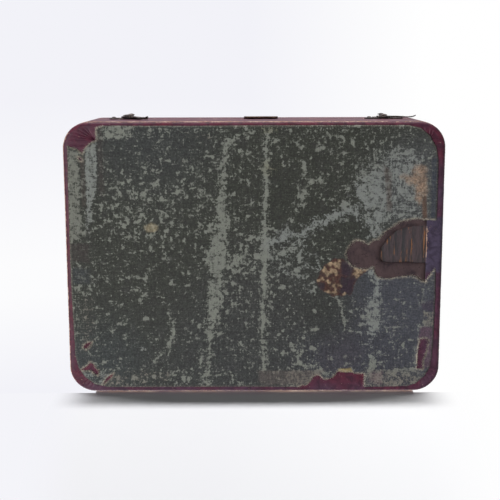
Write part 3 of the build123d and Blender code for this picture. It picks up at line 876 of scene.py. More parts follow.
def buildBaseSkin():
    under, arris, thick, rounding = case["paper"], case["bottomArris"], case["leather"], skin["rimRound"]
    start = inward(np.full(len(rim), arris))
    left, right, front, back = openingAt(start[:, 1])
    inner = np.column_stack([np.clip(start[:, 0], left, right), np.clip(start[:, 1], front, back)])
    fold = pleats()
    rows, worn, lay = startRows()
    wear = arrisWear(rim[:, 0], rim[:, 1])
    flatWear = 0.09 + 0.08 * fieldNoise(runs, runs * 0.0, 6.0, 9.0) + 0.25 * smooth(0.72, 0.95, fold)
    for share in (0.0, 0.06, 0.25, 0.5, 0.7, 0.84, 0.93, 1.0):
        xy = inner + (start - inner) * share
        x, y = xy.T
        depth = fold * skin["pleatDepth"] * (0.15 + 0.85 * smooth(1.02, 0.72, share))
        soft = 0.05 * (0.5 + 0.5 * fieldNoise(x, y, 2.4, 4.0))
        rawEdge = smooth(0.1, 0.0, share) * smooth(50.0, 52.0, x) * smooth(2.0, -2.0, y) * smooth(-11.0, -9.0, y)
        lay(xy, under + depth + soft, flatWear + rawEdge + wear * 0.1 * smooth(0.9, 1.0, share))
    wearFrom = 0.5 + 0.44 * smooth(-39.0, -41.5, rim[:, 1])
    for k in range(1, skin["arrisRows"] + 1):
        angle = math.pi / 2 * k / skin["arrisRows"]
        dent = ridges(k * 0.3) * math.sin(angle) + 0.04 * (1 + fieldNoise(runs, runs * 0 + k, 1.3, 6.0))
        inset = arris * (1 - math.sin(angle)) + dent * math.sin(angle)
        z = under + arris * (1 - math.cos(angle)) + dent * math.cos(angle)
        lay(inward(inset), z, 0.1 + wear * smooth(wearFrom, 0.98, math.sin(angle)))
    outerTop = case["baseHeight"] - seamRoom(rim[:, 0], rim[:, 1])
    frontRub = smooth(-40.0, -42.0, rim[:, 1])
    for k in range(1, skin["wallRows"] + 1):
        share = k / skin["wallRows"]
        z = under + arris + (outerTop - rounding - under - arris) * share
        height = np.abs(share - 0.5) * 2.0
        rub = 0.09 + 0.24 * height ** 4 + frontRub * (0.04 + 0.12 * fieldNoise(runs, z, 8.0, 14.0))
        lay(inward(ridges(2.0 + 20.0 * share)), z, rub + wear * 0.5 * smooth(0.22, 0.0, share))
    for angle in (35.0, 70.0):
        lean = math.radians(angle)
        lay(inward(rounding * (1 - math.cos(lean))), outerTop - rounding * (1 - math.sin(lean)), 0.5)
    for inset in skin["rimInsets"]:
        xy = inward(inset)
        lay(xy, case["baseHeight"] - seamRoom(xy[:, 0], xy[:, 1]), 0.3)
    # the hidden side, back down to the turned-in edge
    lowRim = baseRim - thick
    lay(inward(case["wall"]), lowRim, 0.1)
    for inset in (2.4, thick):
        xy = inward(inset)
        lay(xy, np.minimum(lowRim, case["baseHeight"] - seamRoom(xy[:, 0], xy[:, 1]) - 0.12), 0.1)
    lay(inward(thick), under + arris, 0.1)
    lay(inward(arris), under + thick, 0.1)
    lay(inner, under + thick, 0.1)
    columns, count = skin["columns"], len(rows)
    faces = sweptFaces([(k * columns, (k + 1) % count * columns) for k in range(count)])
    piece = makeMesh("baseSkin", np.concatenate(rows), np.concatenate(faces))
    addValues(piece, "worn", np.concatenate(worn))
    addValues(piece, "greyed", greyingOf(np.concatenate(rows)))
    return piece


# Even points over the lid's top, a little in from its arris, and how far each is from the case's edge
def topPoints():
    gx, gy = np.meshgrid(np.arange(-55.0, 55.1, skin["topSpacing"]), np.arange(-39.5, 39.6, skin["topSpacing"]))
    gx, gy = gx.ravel() + 0.3 * fieldNoise(gx.ravel(), gy.ravel(), 3.0, 1.0), gy.ravel()
    w, d, r = case["width"] / 2 - skin["topInset"], case["depth"] / 2 - skin["topInset"], skin["topCorner"]
    dx, dy = np.maximum(np.abs(gx) - (w - r), 0), np.maximum(np.abs(gy) - (d - r), 0)
    inside = (np.hypot(dx, dy) < r) & (np.abs(gx) < w) & (np.abs(gy) < d)
    fromEdge = np.minimum(w - np.abs(gx), d - np.abs(gy)) + skin["topInset"]
    return gx[inside], gy[inside], fromEdge[inside]


# Triangles over points whose first ones are a closed ring round the case
def trianglesInRing(points):
    ring = [(k, (k + 1) % skin["columns"]) for k in range(skin["columns"])]
    found = geometry.delaunay_2d_cdt([Vector(p) for p in points], ring, [], 0, 1e-6)
    origin = [min(o) if o else -1 for o in found[3]]
    return [[origin[v] for v in triangle] for triangle in found[2]]


def buildLidSkin():
    top, arris, thick, rounding = case["height"], case["topArris"], case["leather"], skin["rimRound"]
    rows, worn, lay = startRows()
    wear = arrisWear(rim[:, 0], rim[:, 1])
    # from the inside of the rim, out round it, up the wall and over the arris on to the top
    lay(inward(case["wall"]), lidRim + thick, 0.1)
    for inset in reversed(skin["rimInsets"]):
        xy = inward(inset)
        lay(xy, case["baseHeight"] + seamRoom(xy[:, 0], xy[:, 1]), 0.3)
    outerLow = case["baseHeight"] + seamRoom(rim[:, 0], rim[:, 1])
    for angle in (70.0, 35.0):
        lean = math.radians(angle)
        lay(inward(rounding * (1 - math.cos(lean))), outerLow + rounding * (1 - math.sin(lean)), 0.5)
    wallTop = top - arris
    for k in range(skin["lidWallRows"] + 1):
        share = k / skin["lidWallRows"]
        z = outerLow + rounding + (wallTop - outerLow - rounding) * share
        lay(inward(ridges(25.0 + 9.0 * share)), z, 0.14 + wear * 0.45 * smooth(0.6, 1.0, share))
    for k in range(1, skin["arrisRows"] + 2):
        angle = math.pi / 2 * k / (skin["arrisRows"] + 1)
        dent = ridges(34.0 + k * 0.3) * math.cos(angle) + 0.03 * (1 + fieldNoise(runs, runs * 0 + k, 1.6, 16.0))
        xy = inward(arris * (1 - math.cos(angle)) + dent)
        lay(xy, wallTop + arris * math.sin(angle) - dent, wear * (0.9 - 0.35 * k / skin["arrisRows"]))
    outerLoop = len(rows) - 1
    # the top: a loop a little further in, then a filled field with the slight swell of leather over board
    columns = skin["columns"]
    points = [np.concatenate(rows)]
    blocks = sweptFaces([(k * columns, (k + 1) * columns) for k in range(outerLoop)])
    faces = [tuple(f) for block in blocks for f in block]
    gx, gy, fromEdge = topPoints()
    base = outerLoop * columns
    extra = len(points[0])
    swell = 0.05 * fieldNoise(gx, gy, 14.0, 21.0) - 0.05
    points.append(np.column_stack([gx, gy, np.full(len(gx), top) + swell]))
    for triangle in trianglesInRing(np.vstack([rows[outerLoop][:, :2], np.column_stack([gx, gy])])):
        faces.append(tuple(base + i if i < columns else extra + i - columns for i in triangle))
    # the inside: straight from the rim's turned-in edge up to the underside of the leather over the board
    count = len(np.concatenate(points))
    step = np.arange(columns)
    following = (step + 1) % columns
    cap = row(inward(arris), top - thick)
    innerRows = (row(inward(thick), lidRim + thick + 0.5), row(inward(thick), top - arris), cap)
    for k, block in enumerate(innerRows):
        points.append(block)
        before = 0 if k == 0 else count + (k - 1) * columns
        here = count + k * columns
        faces += [tuple(f) for f in np.stack([before + following, before + step, here + step, here + following], 1)]
    last = count + 2 * columns
    # underside of the top leather, closed with a plain filled loop
    faces += [tuple(last + i for i in reversed(triangle)) for triangle in trianglesInRing(cap[:, :2])]
    piece = makeMesh("lidSkin", np.concatenate(points), faces)
    topWear = 0.09 + 0.1 * fieldNoise(gx, gy, 12.0, 31.0)
    edgeRub = 0.25 * smooth(8.0, 0.0, fromEdge)
    worn.append(np.clip(topWear + edgeRub, 0, 1))
    worn.append(np.full(3 * columns, 0.1))
    addValues(piece, "worn", np.concatenate(worn))
    addValues(piece, "greyed", greyingOf(np.concatenate(points)) * 0.6)
    return piece


settle(buildBaseSkin(), "base", maroonLeather, "leather_maroon", "base_leather")
settle(buildLidSkin(), "lid", maroonLeather, "leather_maroon", "lid_leather")
print("leather skins swept")


# Marks which points lie inside a closed polygon
def insidePolygon(points, polygon):
    polygon = np.asarray(polygon, float)
    x, y = points[:, 0], points[:, 1]
    inside = np.zeros(len(points), bool)
    for a, b in zip(polygon, np.roll(polygon, -1, axis=0)):
        if a[1] != b[1]:
            crosses = (a[1] > y) != (b[1] > y)
            inside ^= crosses & (x < (b[0] - a[0]) * (y - a[1]) / (b[1] - a[1]) + a[0])
    return inside


# Distance to a line of points, less its half width; points further off than the reach get the reach
def strokeDistance(points, line, widths=0.0, reach=4.0):
    line = np.asarray(line, float)
    half = np.broadcast_to(np.asarray(widths, float), len(line)) / 2
    result = np.full(len(points), reach)
    keepOff = reach + half.max()
    near = ((points > line.min(0) - keepOff) & (points < line.max(0) + keepOff)).all(1)
    close = points[near]
    best = np.full(len(close), reach)
    for k in range(len(line) - 1):
        a, ab = line[k], line[k + 1] - line[k]
        here = (np.abs(close - (a + ab / 2)) < np.abs(ab) / 2 + keepOff).all(1)
        offset = close[here] - a
        share = np.clip((offset @ ab) / max(ab @ ab, 1e-12), 0.0, 1.0)
        gap = np.hypot(offset[:, 0] - share * ab[0], offset[:, 1] - share * ab[1])
        best[here] = np.minimum(best[here], gap - half[k] * (1 - share) - half[k + 1] * share)
    result[near] = best
    return result


# Signed distance to a closed polygon, negative inside, worked out near it only
def polygonDistance(points, polygon, reach=4.0):
    polygon = np.asarray(polygon, float)
    gap = strokeDistance(points, np.vstack([polygon, polygon[:1]]), 0.0, reach)
    near = ((points > polygon.min(0)) & (points < polygon.max(0))).all(1)
    gap[near] *= np.where(insidePolygon(points[near], polygon), -1.0, 1.0)
    return gap


# Fills the area inside the first loop and outside the others with even triangles
def fillRegion(loops, step):
    border = np.concatenate(loops)
    edges, middles, first = [], [], 0
    for loop in loops:
        count = len(loop)
        edges += [(first + k, first + (k + 1) % count) for k in range(count)]
        middles.append((loop + np.roll(loop, -1, axis=0)) / 2)
        first += count
    low, high = border.min(0), border.max(0)
    gx, gy = np.meshgrid(np.arange(low[0], high[0], step), np.arange(low[1], high[1], step * 0.87))
    gx = gx + (np.arange(gx.shape[0])[:, None] % 2) * step / 2
    grid = np.column_stack([gx.ravel(), gy.ravel()])
    # grid points in the cells next to the border would make slivers
    cell = step * 0.6
    taken = np.zeros(((high - low) / cell).astype(int) + 6, bool)
    at = ((np.concatenate([border] + middles) - low) / cell).astype(int) + 2
    for dx in (-1, 0, 1):
        for dy in (-1, 0, 1):
            taken[at[:, 0] + dx, at[:, 1] + dy] = True
    home = ((grid - low) / cell).astype(int) + 2
    every = np.concatenate([border, grid[~taken[home[:, 0], home[:, 1]]]])
    found = geometry.delaunay_2d_cdt([Vector(p) for p in every], edges, [], 1, 1e-7)
    origin = np.array([min(o) if o else -1 for o in found[3]])
    triangles = origin[np.array(found[2])]
    keep = (triangles >= 0).all(1)
    middle = every[triangles].mean(1)
    for hole in loops[1:]:
        keep &= ~insidePolygon(middle, hole)
    triangles = triangles[keep]
    used = np.zeros(len(every), bool)
    used[: len(border)] = True
    used[triangles.ravel()] = True
    place = np.cumsum(used) - 1
    return every[used], place[triangles]


# Divides an outline into short steps and frays it
def frayed(line, step, fray, seed, closed=False):
    line = [np.array(p, float) for p in line]
    if closed:
        line = line + [line[0]]
    points = []
    for a, b in zip(line[:-1], line[1:]):
        count = max(1, int(round(np.linalg.norm(b - a) / step)))
        points += [a + (b - a) * k / count for k in range(count)]
    if not closed:
        points.append(line[-1])
    points = np.array(points)
    dx = fieldNoise(points[:, 0], points[:, 1], 0.9, seed, 2)
    dy = fieldNoise(points[:, 0], points[:, 1], 0.9, seed + 4.0, 2)
    return points + fray * np.column_stack([dx, dy])


# The paper panel as it is now, in millimetres, seen in the case's own X and Y
paperShape = {
    "spacing": 0.42,
    "step": 0.38,
    "fray": {
        "frontLeftTear": 0.16, "frontEdge": 0.05, "rightEdge": 0.05, "rightTear": 0.2,
        "backRightEdge": 0.05, "backTear": 0.16, "backEdge": 0.05, "leftEdge": 0.07,
    },
    "frontLeftTear": [
        (-56.4, -35), (-54.5, -34.6), (-53, -33.6), (-51.8, -32.8), (-51.2, -34.5), (-50, -35.5), (-48.3, -36.5),
        (-47.7, -37), (-47.7, -40.5), (-45.5, -41.1),
    ],
    "frontEdge": [
        (-45.5, -41.1), (-20, -41), (2, -41.1), (30, -41.1), (46, -41.1), (50, -40.3), (53, -37.9), (55, -34.4),
        (55.7, -31),
    ],
    "rightEdge": [(55.7, -31), (55.8, -20), (55.7, -12.3)],
    "rightTear": [
        (55.7, -12.3), (53, -12.2), (51, -12.5), (48, -12.5), (45, -11.8), (43.5, -11), (41.5, -9.5), (40, -8.5),
        (38.7, -7), (38, -6), (36.5, -6), (35, -4.6), (33.5, -5.5), (31.5, -6), (30, -5.3), (28.8, -3.5),
        (28.3, -1.5), (28.7, 0.4), (30, 1.8), (32, 2.7), (35, 2.9), (36.7, 2), (37.3, 4.2), (38.4, 5.5), (40, 5.9),
        (42.6, 5.8), (45.1, 5.2), (46.7, 5.3), (48.4, 4.9), (50.1, 5.3), (50.9, 6), (52, 6.9), (52.7, 7), (53.4, 5.9),
        (54.8, 3.7), (55.8, 2.9),
    ],
    "backRightEdge": [
        (55.8, 2.9), (56, 12), (55.8, 24), (55.5, 31), (54.9, 34.4), (53.2, 37.3), (50.6, 39.6), (48, 40.4),
        (40, 40.6), (34.5, 40.7),
    ],
    "backTear": [
        (34.5, 40.7), (34.4, 38), (34.3, 36.2), (31.5, 36.4), (30.8, 35.9), (26, 35.7), (25.3, 36.5), (24.5, 37.6),
        (23.3, 38), (21.7, 38.2), (21, 37.4), (20, 36.8), (19.2, 36.9), (18.2, 37.8), (17.4, 39), (16.6, 39.9),
        (15, 40.2), (13.6, 40.6),
    ],
    "backEdge": [(13.6, 40.6), (0, 40.5), (-20, 40.5), (-46, 40.5), (-50, 39.6), (-53, 37.4), (-55.2, 34), (-56, 30)],
    "leftEdge": [(-56, 30), (-56.5, 10), (-56.6, 0), (-56.6, -15), (-56.4, -35)],
    "holes": [
        [
            (-54.8, 35), (-52.6, 33.7), (-51.2, 32.4), (-50.4, 33.2), (-49.6, 34.6), (-48.7, 35.2), (-49.2, 36.7),
            (-50.2, 36.3), (-51, 35.2), (-53, 35.1),
        ],
        [(-44.2, 36.1), (-44.7, 37.3), (-46.2, 38.7), (-47.6, 39.8), (-47.2, 38.5), (-45.8, 37.1)],
        [(-53.3, 26.9), (-51.9, 26.2), (-50.7, 25.8), (-51.2, 27), (-52.5, 28.2), (-53.5, 27.7)],
        [(-53.4, -31.7), (-52.1, -31.4), (-51.9, -30.6), (-52.8, -30.5)],
        [
            (51.6, 25.3), (53.2, 25), (54.5, 25.9), (53.8, 27.5), (53.6, 29.5), (53, 31.2), (52.6, 33.2),
            (52.8, 34.9), (50.8, 34.8), (50.9, 31), (51.2, 28),
        ],
    ],
}

# Marks of wear: (strength, tone, widths, points) for streaks; (x, y, size) for flecks
paperWear = {
    "streaks": [
        (1, "pale", (0.9, 0.9, 1, 1.5, 1.4, 0.9, 1.1, 1.7, 1.1, 0.9), [
            (4, -38.5), (3.7, -35), (3.5, -32), (4, -29.5), (3.3, -27.5), (3.6, -24.5), (3.8, -22.5), (3.7, -20.5),
            (3.4, -18), (3.2, -15),
        ]),
        (1, "pale", (0.9, 1, 1.4, 1.6, 1.3, 1.5, 1.4, 1), [
            (3.2, -15), (3.2, -10), (3.3, -7), (3.6, -4), (3.3, 0), (3, 4), (3.1, 8), (2.9, 11),
        ]),
        (1, "pale", (0.8, 0.9, 1.3, 1.2, 1.5, 0.9, 0.8, 0.9, 1, 0.9, 1.4), [
            (2.9, 11), (2.7, 14.5), (2.7, 17.5), (2.9, 19.5), (2.6, 21), (2.2, 22.6), (2.5, 25), (2.5, 28), (2.9, 30),
            (2.8, 33.5), (3, 35),
        ]),
        (0.8, "yellow", (0.5, 0.7), [(4.4, -28.4), (6.2, -27.8)]),
        (0.9, "pale", (0.5, 0.6, 0.5), [(3.3, 15), (4.8, 14.2), (4.4, 13.2)]),
        (0.95, "pale", (2, 2.4, 2.2, 1.6), [(-8, -35.5), (-8.5, -33), (-8.8, -31), (-9.8, -28)]),
        (1, "pale", (1.3, 1.1, 1.2, 2.6, 3, 2.8, 2.8), [
            (-9.8, -28), (-9.8, -25.5), (-10, -22.5), (-9.8, -20), (-10, -17), (-10, -14), (-10, -11),
        ]),
        (1, "pale", (2.8, 3.4, 4.2, 5.4, 6, 4.6, 3.2, 2.6), [
            (-10, -11), (-10.3, -8), (-10.8, -5), (-11.3, -2), (-11.6, 0.5), (-11.6, 3), (-11.5, 5.5), (-11.4, 7.5),
        ]),
        (1, "pale", (3.2, 3.4, 3.6, 3.4, 3.2, 2.8, 2.4, 2), [
            (-12, 8.5), (-11.8, 11), (-12.2, 13), (-13, 15), (-12.8, 17), (-13.2, 19.5), (-13.6, 22), (-13.6, 24.5),
        ]),
        (0.85, "pale", (1.6, 2, 1.8, 2.2, 2.4, 3.4, 3.6), [
            (-13.7, 26.5), (-14, 29), (-14.2, 31.5), (-14.6, 34), (-14.8, 36), (-15.2, 38), (-15.4, 40),
        ]),
        (0.8, "pale", (0.9, 1.4, 1), [(-16.4, 29.3), (-16.7, 31.2), (-17, 33)]),
        (0.9, "pale", (1.2, 1.5, 1.5, 1.7, 1.9), [(12.5, -15.5), (14, -17.5), (15, -20), (16, -22), (17.5, -24.3)]),
        (0.85, "pale", (1.6, 1.2), [(17.5, -24.3), (21, -24.5)]),
        (1, "cool", (1.6, 2, 2.6, 1.8, 2, 2.4, 2.4, 2.2, 2.2, 1.8), [
            (4, -5), (8, -6.5), (10, -8), (14, -7.5), (16, -9.5), (19, -11), (22, -12.2), (25, -13.5), (28, -15),
            (31, -14.8),
        ]),
        (0.9, "pale", (0.7, 0.8, 0.6), [(13, -23), (13.7, -20.5), (13.2, -19)]),
        (0.85, "pale", (1.2, 1.8, 1.2), [(15, -30), (15.1, -28.2), (14.8, -26.4)]),
        (0.9, "pale", (0.35, 0.35), [(-34.5, -27.3), (-32, -29.8)]),
        (0.95, "pale", (1, 1.2, 1.1, 0.9), [(-25.4, 19.4), (-25.1, 22), (-25.3, 24), (-26.4, 26)]),
        (0.95, "pale", (0.9, 0.8, 0.5), [(-26.4, 26), (-28.4, 29.4), (-31.6, 32.4)]),
        (0.9, "pale", (1.6, 1, 0.9), [(24.6, 11.5), (26, 12.6), (26.8, 14.2)]),
        (0.85, "pale", (0.9, 0.8, 0.8, 0.6), [(26.8, 14.2), (27.2, 16.6), (27.9, 19.6), (28.2, 22.4)]),
        (0.7, "pale", (0.5, 0.5, 0.5), [(24.7, 22.2), (25.4, 23.4), (26, 23.8)]),
        (1, "cool", (1.6, 1.8, 1.6, 2.2), [(36, 3.8), (37.8, 6.5), (37.9, 9.5), (37.2, 12.5)]),
        (1, "cool", (3.2, 4.4, 4.6, 3), [(37, 13), (36.6, 16.5), (37, 19.5), (36.4, 22.4)]),
        (0.55, "cool", (2.4, 2.6, 2.4), [(36.4, 22.4), (36.4, 26), (37, 30)]),
        (0.95, "pale", (2.2, 2.8, 2.8), [(37, 30), (36.8, 33), (37.2, 36)]),
        (0.8, "pale", (0.8, 0.9, 0.8, 0.6), [(53.2, 7.3), (52.4, 9), (52, 11.5), (51.9, 14.2)]),
        (0.7, "pale", (0.6, 0.6, 0.7, 0.8), [(51.8, 20.6), (51.1, 25), (50.4, 29), (50.2, 33.6)]),
        (0.8, "pale", (1, 1, 0.9), [(50, 34.8), (45.5, 34.9), (43.4, 35.2)]),
        (0.5, "pale", (0.6, 0.6), [(-45.2, -1), (-45.3, 5)]),
        (0.6, "pale", (0.7, 0.8, 0.5), [(-47.2, 19.5), (-46.9, 23.4), (-48.4, 24.2)]),
        (0.6, "pale", (0.8, 1, 0.8), [(-42.4, 31.2), (-42, 33), (-42.6, 34.8)]),
        (0.5, "cool", (0.8, 0.8), [(-36.4, 27.6), (-35, 29.8)]),
        (0.7, "pale", (0.9, 1.4, 1), [(-31.4, 2), (-32.6, 4.4), (-34, 6.6)]),
        (0.7, "pale", (0.8, 1.3, 1, 0.9), [(-41.4, 6), (-38.8, 5.4), (-36.6, 5.2), (-33.6, 6)]),
        (0.6, "pale", (0.5, 0.5), [(-18, -17), (-14, -16.4)]),
        (0.75, "pale", (1.6, 2.6, 2.2, 1.6), [(-6, -1.4), (-2.5, -1.3), (0.5, -1.2), (2.6, -1)]),
        (0.7, "pale", (1.2, 0.9), [(-3.8, -32.3), (-0.6, -33)]),
        (0.5, "pale", (0.6, 0.6), [(-50, 1.2), (-48, 2.8)]),
        (0.5, "pale", (0.6, 0.6), [(-50.6, 1.4), (-52.2, 2.8)]),
    ],
    "flecks": [
        (-30, -23.7, 1.5), (-33, -22, 0.7), (-37.8, -20.8, 0.8), (-34, -18.8, 1.4), (-27.8, -18.4, 0.8),
        (-24.5, -18, 0.6), (-33.8, -13.5, 1.9), (-29, -27.2, 0.8), (-31, -27.3, 0.7), (-33, -27.5, 0.6),
        (-25.8, -30.7, 0.7), (-45, -30.5, 0.6), (-35, -32.5, 0.6), (-39, -12, 0.7), (-46.8, -17, 0.7),
        (-43.5, -16.3, 0.6), (-38.5, -16.2, 0.6), (-39, -7.5, 1.1), (-46.5, -6, 0.7), (-36.5, -9, 0.6),
        (-20.8, -20, 0.7), (-21, -14, 0.9), (-25.5, -11.8, 0.7), (-26, -6.5, 0.8), (-21.5, -6, 0.7), (-25, -3.5, 0.8),
        (-35, -2.3, 0.7), (-4.3, -28, 0.9), (-2, -24.5, 0.8), (-0.8, -17.5, 0.8), (-3.2, -15.3, 0.7), (-18, -9, 0.7),
        (-16.8, -11.5, 0.6), (-4.5, -8, 1.1), (-1.5, -6.6, 1), (6, -3.6, 1.1), (8.5, -2, 1.2), (11.5, -3.2, 1.5),
        (14, -1, 1.2), (18.5, -5, 0.9), (13, -35, 1.2), (16, -35, 0.7), (20.2, -34.3, 1.6), (11.5, -12.3, 0.7),
        (30, -36.2, 1.5), (27, -32.5, 1.2), (37.5, -33.5, 1.2), (36.5, -30, 0.8), (26.5, -37.5, 0.8),
        (27, -17.2, 1.6), (23.6, -18.4, 0.8), (31.4, -9, 0.6), (-40.8, 19.8, 1.1), (-41.4, 14, 0.8),
        (-36.3, 9.2, 0.8), (-34, 10.8, 0.8), (-35, 13, 0.6), (-44.4, 13.2, 0.8), (-45.8, 6.6, 0.8),
        (-48.8, 14.6, 0.7), (-25.2, 7, 1), (-21, 8, 0.5), (-26.5, 17, 0.6), (-33.4, 18.2, 0.6), (-27, -0.4, 0.9),
        (-19.8, 19, 0.6), (-17.2, 20.8, 0.6), (-17, 0.8, 1.2), (-18.6, 1.8, 0.6), (-7, 7.2, 1.1), (-8.8, 7, 0.9),
        (-4.4, 8.6, 0.8), (-6.4, 14.2, 0.9), (-3.8, 16.4, 1), (-1.8, 13.4, 0.6), (-8.6, 16.2, 0.6), (-9, 10, 0.8),
        (-11.4, 24, 0.5), (-4.2, 26.2, 0.6), (-1, 25.6, 0.6), (-9, 26, 0.4), (-0.8, 3, 1.2), (-3, 4.4, 0.8),
        (1.4, 4, 0.5), (-7.6, 2.6, 1.2), (-5.2, 3.6, 0.8), (13, 3.4, 2.2), (10.4, 1.4, 1), (11.8, 5.4, 0.8),
        (6.8, 4.6, 0.8), (16, 5.8, 0.8), (8.4, 8.8, 0.6), (11.4, 8.6, 0.5), (14.4, 9.6, 0.8), (18.6, 9, 1.1),
        (17.8, 7, 0.6), (5.4, 10.2, 0.6), (6.8, 11, 0.5), (8.1, 13.8, 0.5), (5.4, 18.8, 0.4), (18.4, 16.2, 0.7),
        (16, 22.6, 0.7), (19.4, 21.8, 0.8), (15, 24.6, 0.8), (13.4, 27, 1), (12.4, 28.8, 1), (15, 29.6, 1),
        (13.2, 31, 1.3), (14, 33.2, 1.5), (15.8, 34, 1), (18.6, 28, 1.1), (19.4, 29.2, 0.7), (18, 33.6, 0.9),
        (19.2, 34, 0.7), (8.6, 29.6, 0.6), (9, 32, 0.6), (6.4, 28.2, 0.6), (4.4, 28.8, 0.5), (-6.6, 36.6, 0.9),
        (-6.2, 38, 0.7), (-11.6, 36.2, 0.9), (-25.4, 36.2, 0.9), (-24.6, 36.8, 0.9), (-22, 37.8, 1.1),
        (-20.8, 38, 0.8), (-31.4, 37.2, 1), (-29.6, 36.6, 0.8), (-33.2, 38.2, 0.8), (-37.4, 37.4, 0.9),
        (-47.4, 32.8, 0.5), (-47.4, 35, 0.9), (30.2, 16.4, 1), (32.2, 15.4, 0.7), (34.6, 18.2, 1.3),
        (30.4, 13.6, 0.6), (29, 31, 0.9), (28.8, 33.2, 0.9), (30.6, 33, 0.8), (39.6, 33, 1.2), (46.2, 27.2, 1),
        (43.8, 27, 0.6), (48.8, 25.6, 0.5), (41.4, 22.2, 0.5), (43.6, 21.6, 1.1), (46.6, 17, 0.5), (44.4, 13, 0.4),
        (39.4, 13, 0.6), (36, 6.8, 0.7), (32.8, 21, 0.7), (30.2, 22.6, 0.6), (-54, 8.6, 0.8), (-49.8, 5.2, 0.6),
        (-50.6, 8.6, 0.6),
    ],
}

# Areas: (strength, tone, softness, outline); stains: (colour, share, softness, outline)
paperAreas = [
    (0.92, "band", 0.5, [(-56.5, -34.5), (-53.2, -33), (-53, -20), (-52.8, -10), (-51.2, -7.5), (-56.5, -5.2)]),
    (0.95, "cool", 0.5, [
        (-51.2, -34), (-49.5, -35.5), (-47.6, -36.5), (-47.6, -28), (-48, -22), (-49, -18), (-50, -15),
        (-49.3, -12.5), (-51.2, -9.8),
    ]),
    (0.95, "pale", 0.7, [(-46.6, -41), (-36.5, -41), (-36.8, -37.6), (-40, -36.9), (-46.4, -37.2)]),
    (0.6, "pale", 1.2, [(-35.5, -41), (-8, -41), (-8, -38.6), (-30, -37.8)]),
    (0.6, "pale", 1.4, [(8, -41), (50, -40), (50, -38.4), (8, -38.6)]),
    (0.5, "pale", 0.6, [(-35.5, -41), (-31, -41), (-31, -37.8), (-35, -37.6)]),
    (0.45, "warm", 0.5, [(-21, -38.7), (-13.5, -38.7), (-13.5, -37.2), (-21, -37.4)]),
    (0.55, "yellow", 0.6, [(2, -41), (7.6, -41), (7.4, -39), (2.4, -38.8)]),
    (0.72, "cool", 2.4, [
        (30, -27), (38, -34), (49, -35), (52, -30), (51.5, -14), (41, -11), (38, -6), (34, -7), (30, -17),
    ]),
    (0.95, "cool", 0.9, [
        (33, -25.5), (36, -27.5), (38.5, -28), (39, -26), (40.5, -22), (41, -20), (41.5, -17), (40, -13), (38.5, -11),
        (39, -8.5), (37.5, -6.5), (35.5, -7.5), (34.5, -11.5), (35.5, -13.5), (37, -16), (33.5, -15.5), (31, -19.5),
        (31, -22.5),
    ]),
    (0.86, "cool", 1.2, [
        (41.5, -34.5), (47.5, -34), (48.5, -31), (51, -31), (51, -28), (48, -26), (49, -22), (49.5, -18), (44, -18.5),
        (42, -22), (41.5, -26), (40.5, -29),
    ]),
    (0.55, "cool", 1.2, [(41, -18), (50.5, -17.5), (51, -13), (44, -12.4), (41, -13.5)]),
    (0.5, "band", 0.3, [(52, -29.5), (53.7, -29.5), (53.6, -13), (52.5, -12.6), (52.4, -19)]),
    (0.3, "pale", 2.5, [(6, -38), (34, -38), (33, -27), (22, -26), (8, -30)]),
    (0.42, "pale", 2, [(30, -33), (41, -36), (50, -36), (50, -34), (40, -32), (34, -26), (29, -24)]),
    (0.42, "pale", 1.5, [(-8, -9), (3, -8), (3, 5), (-9, 8)]),
    (0.46, "cool", 1.2, [(4, -6), (17, -6), (18, 5.5), (10, 6.5), (4, 2)]),
    (0.7, "cool", 0.7, [(18.6, -2), (20.6, -0.6), (20.8, 4.6), (17.8, 5.2), (18.6, 2)]),
    (0.4, "cool", 1.4, [(17, 5), (21, 10), (16, 11), (14, 7)]),
    (0.36, "pale", 1.6, [(-46, -24), (-20, -26), (-18, -10), (-24, 0), (-42, -2), (-46, -12)]),
    (0.3, "pale", 1.8, [(25, 12), (34, 12), (34, 22), (28, 22)]),
    (0.42, "pale", 1, [(11, 26), (20, 26), (20, 35), (12, 35)]),
    (0.34, "pale", 1.4, [(34, 12), (40.5, 12), (40.5, 35), (34, 35)]),
    (0.4, "pale", 1, [(25, 30), (34, 29.5), (40, 34.8), (25, 34.5)]),
    (0.62, "band", 0.5, [(-56, 8), (-53.8, 7.4), (-52, 14), (-53, 24.6), (-55.9, 24)]),
    (0.55, "warm", 0.6, [(-53.2, 12), (-50.2, 12), (-49.9, 25.2), (-53.2, 25)]),
    (0.75, "cool", 0.4, [(-54.6, 35.4), (-51.4, 35.4), (-50, 37.2), (-49.6, 39.4), (-53, 37.8)]),
    (0.85, "cool", 0.5, [(-49, 34.8), (-47, 36), (-44.6, 35.8), (-47.4, 39.4), (-49.2, 39.4), (-48.4, 36.4)]),
    (0.6, "warm", 0.6, [(-44, 36.6), (-42, 35.2), (-39.6, 36), (-39.8, 40.2), (-47, 40.2)]),
    (0.45, "warm", 0.8, [(-39, 35.4), (-27, 36), (-28, 39), (-38, 39.6)]),
    (0.45, "warm", 0.5, [(1, 35.4), (10, 35.4), (10, 40.3), (0.5, 40.2)]),
    (0.78, "warm", 0.4, [(10, 35.2), (22.5, 35.1), (20.6, 36.6), (18.6, 36.8), (16.4, 39.6), (10, 40.3)]),
    (0.85, "warm", 0.4, [(34.5, 35), (50.4, 35), (53, 37), (50.5, 39.5), (47, 40.4), (34.5, 40.4)]),
    (0.82, "warm", 0.4, [(52.4, 16.4), (55.7, 16.2), (55.7, 21.4), (52, 21.2)]),
    (0.6, "band", 0.4, [(53.6, 3.8), (55.8, 3), (55.9, 8), (54, 9.4), (52.6, 8.6)]),
]
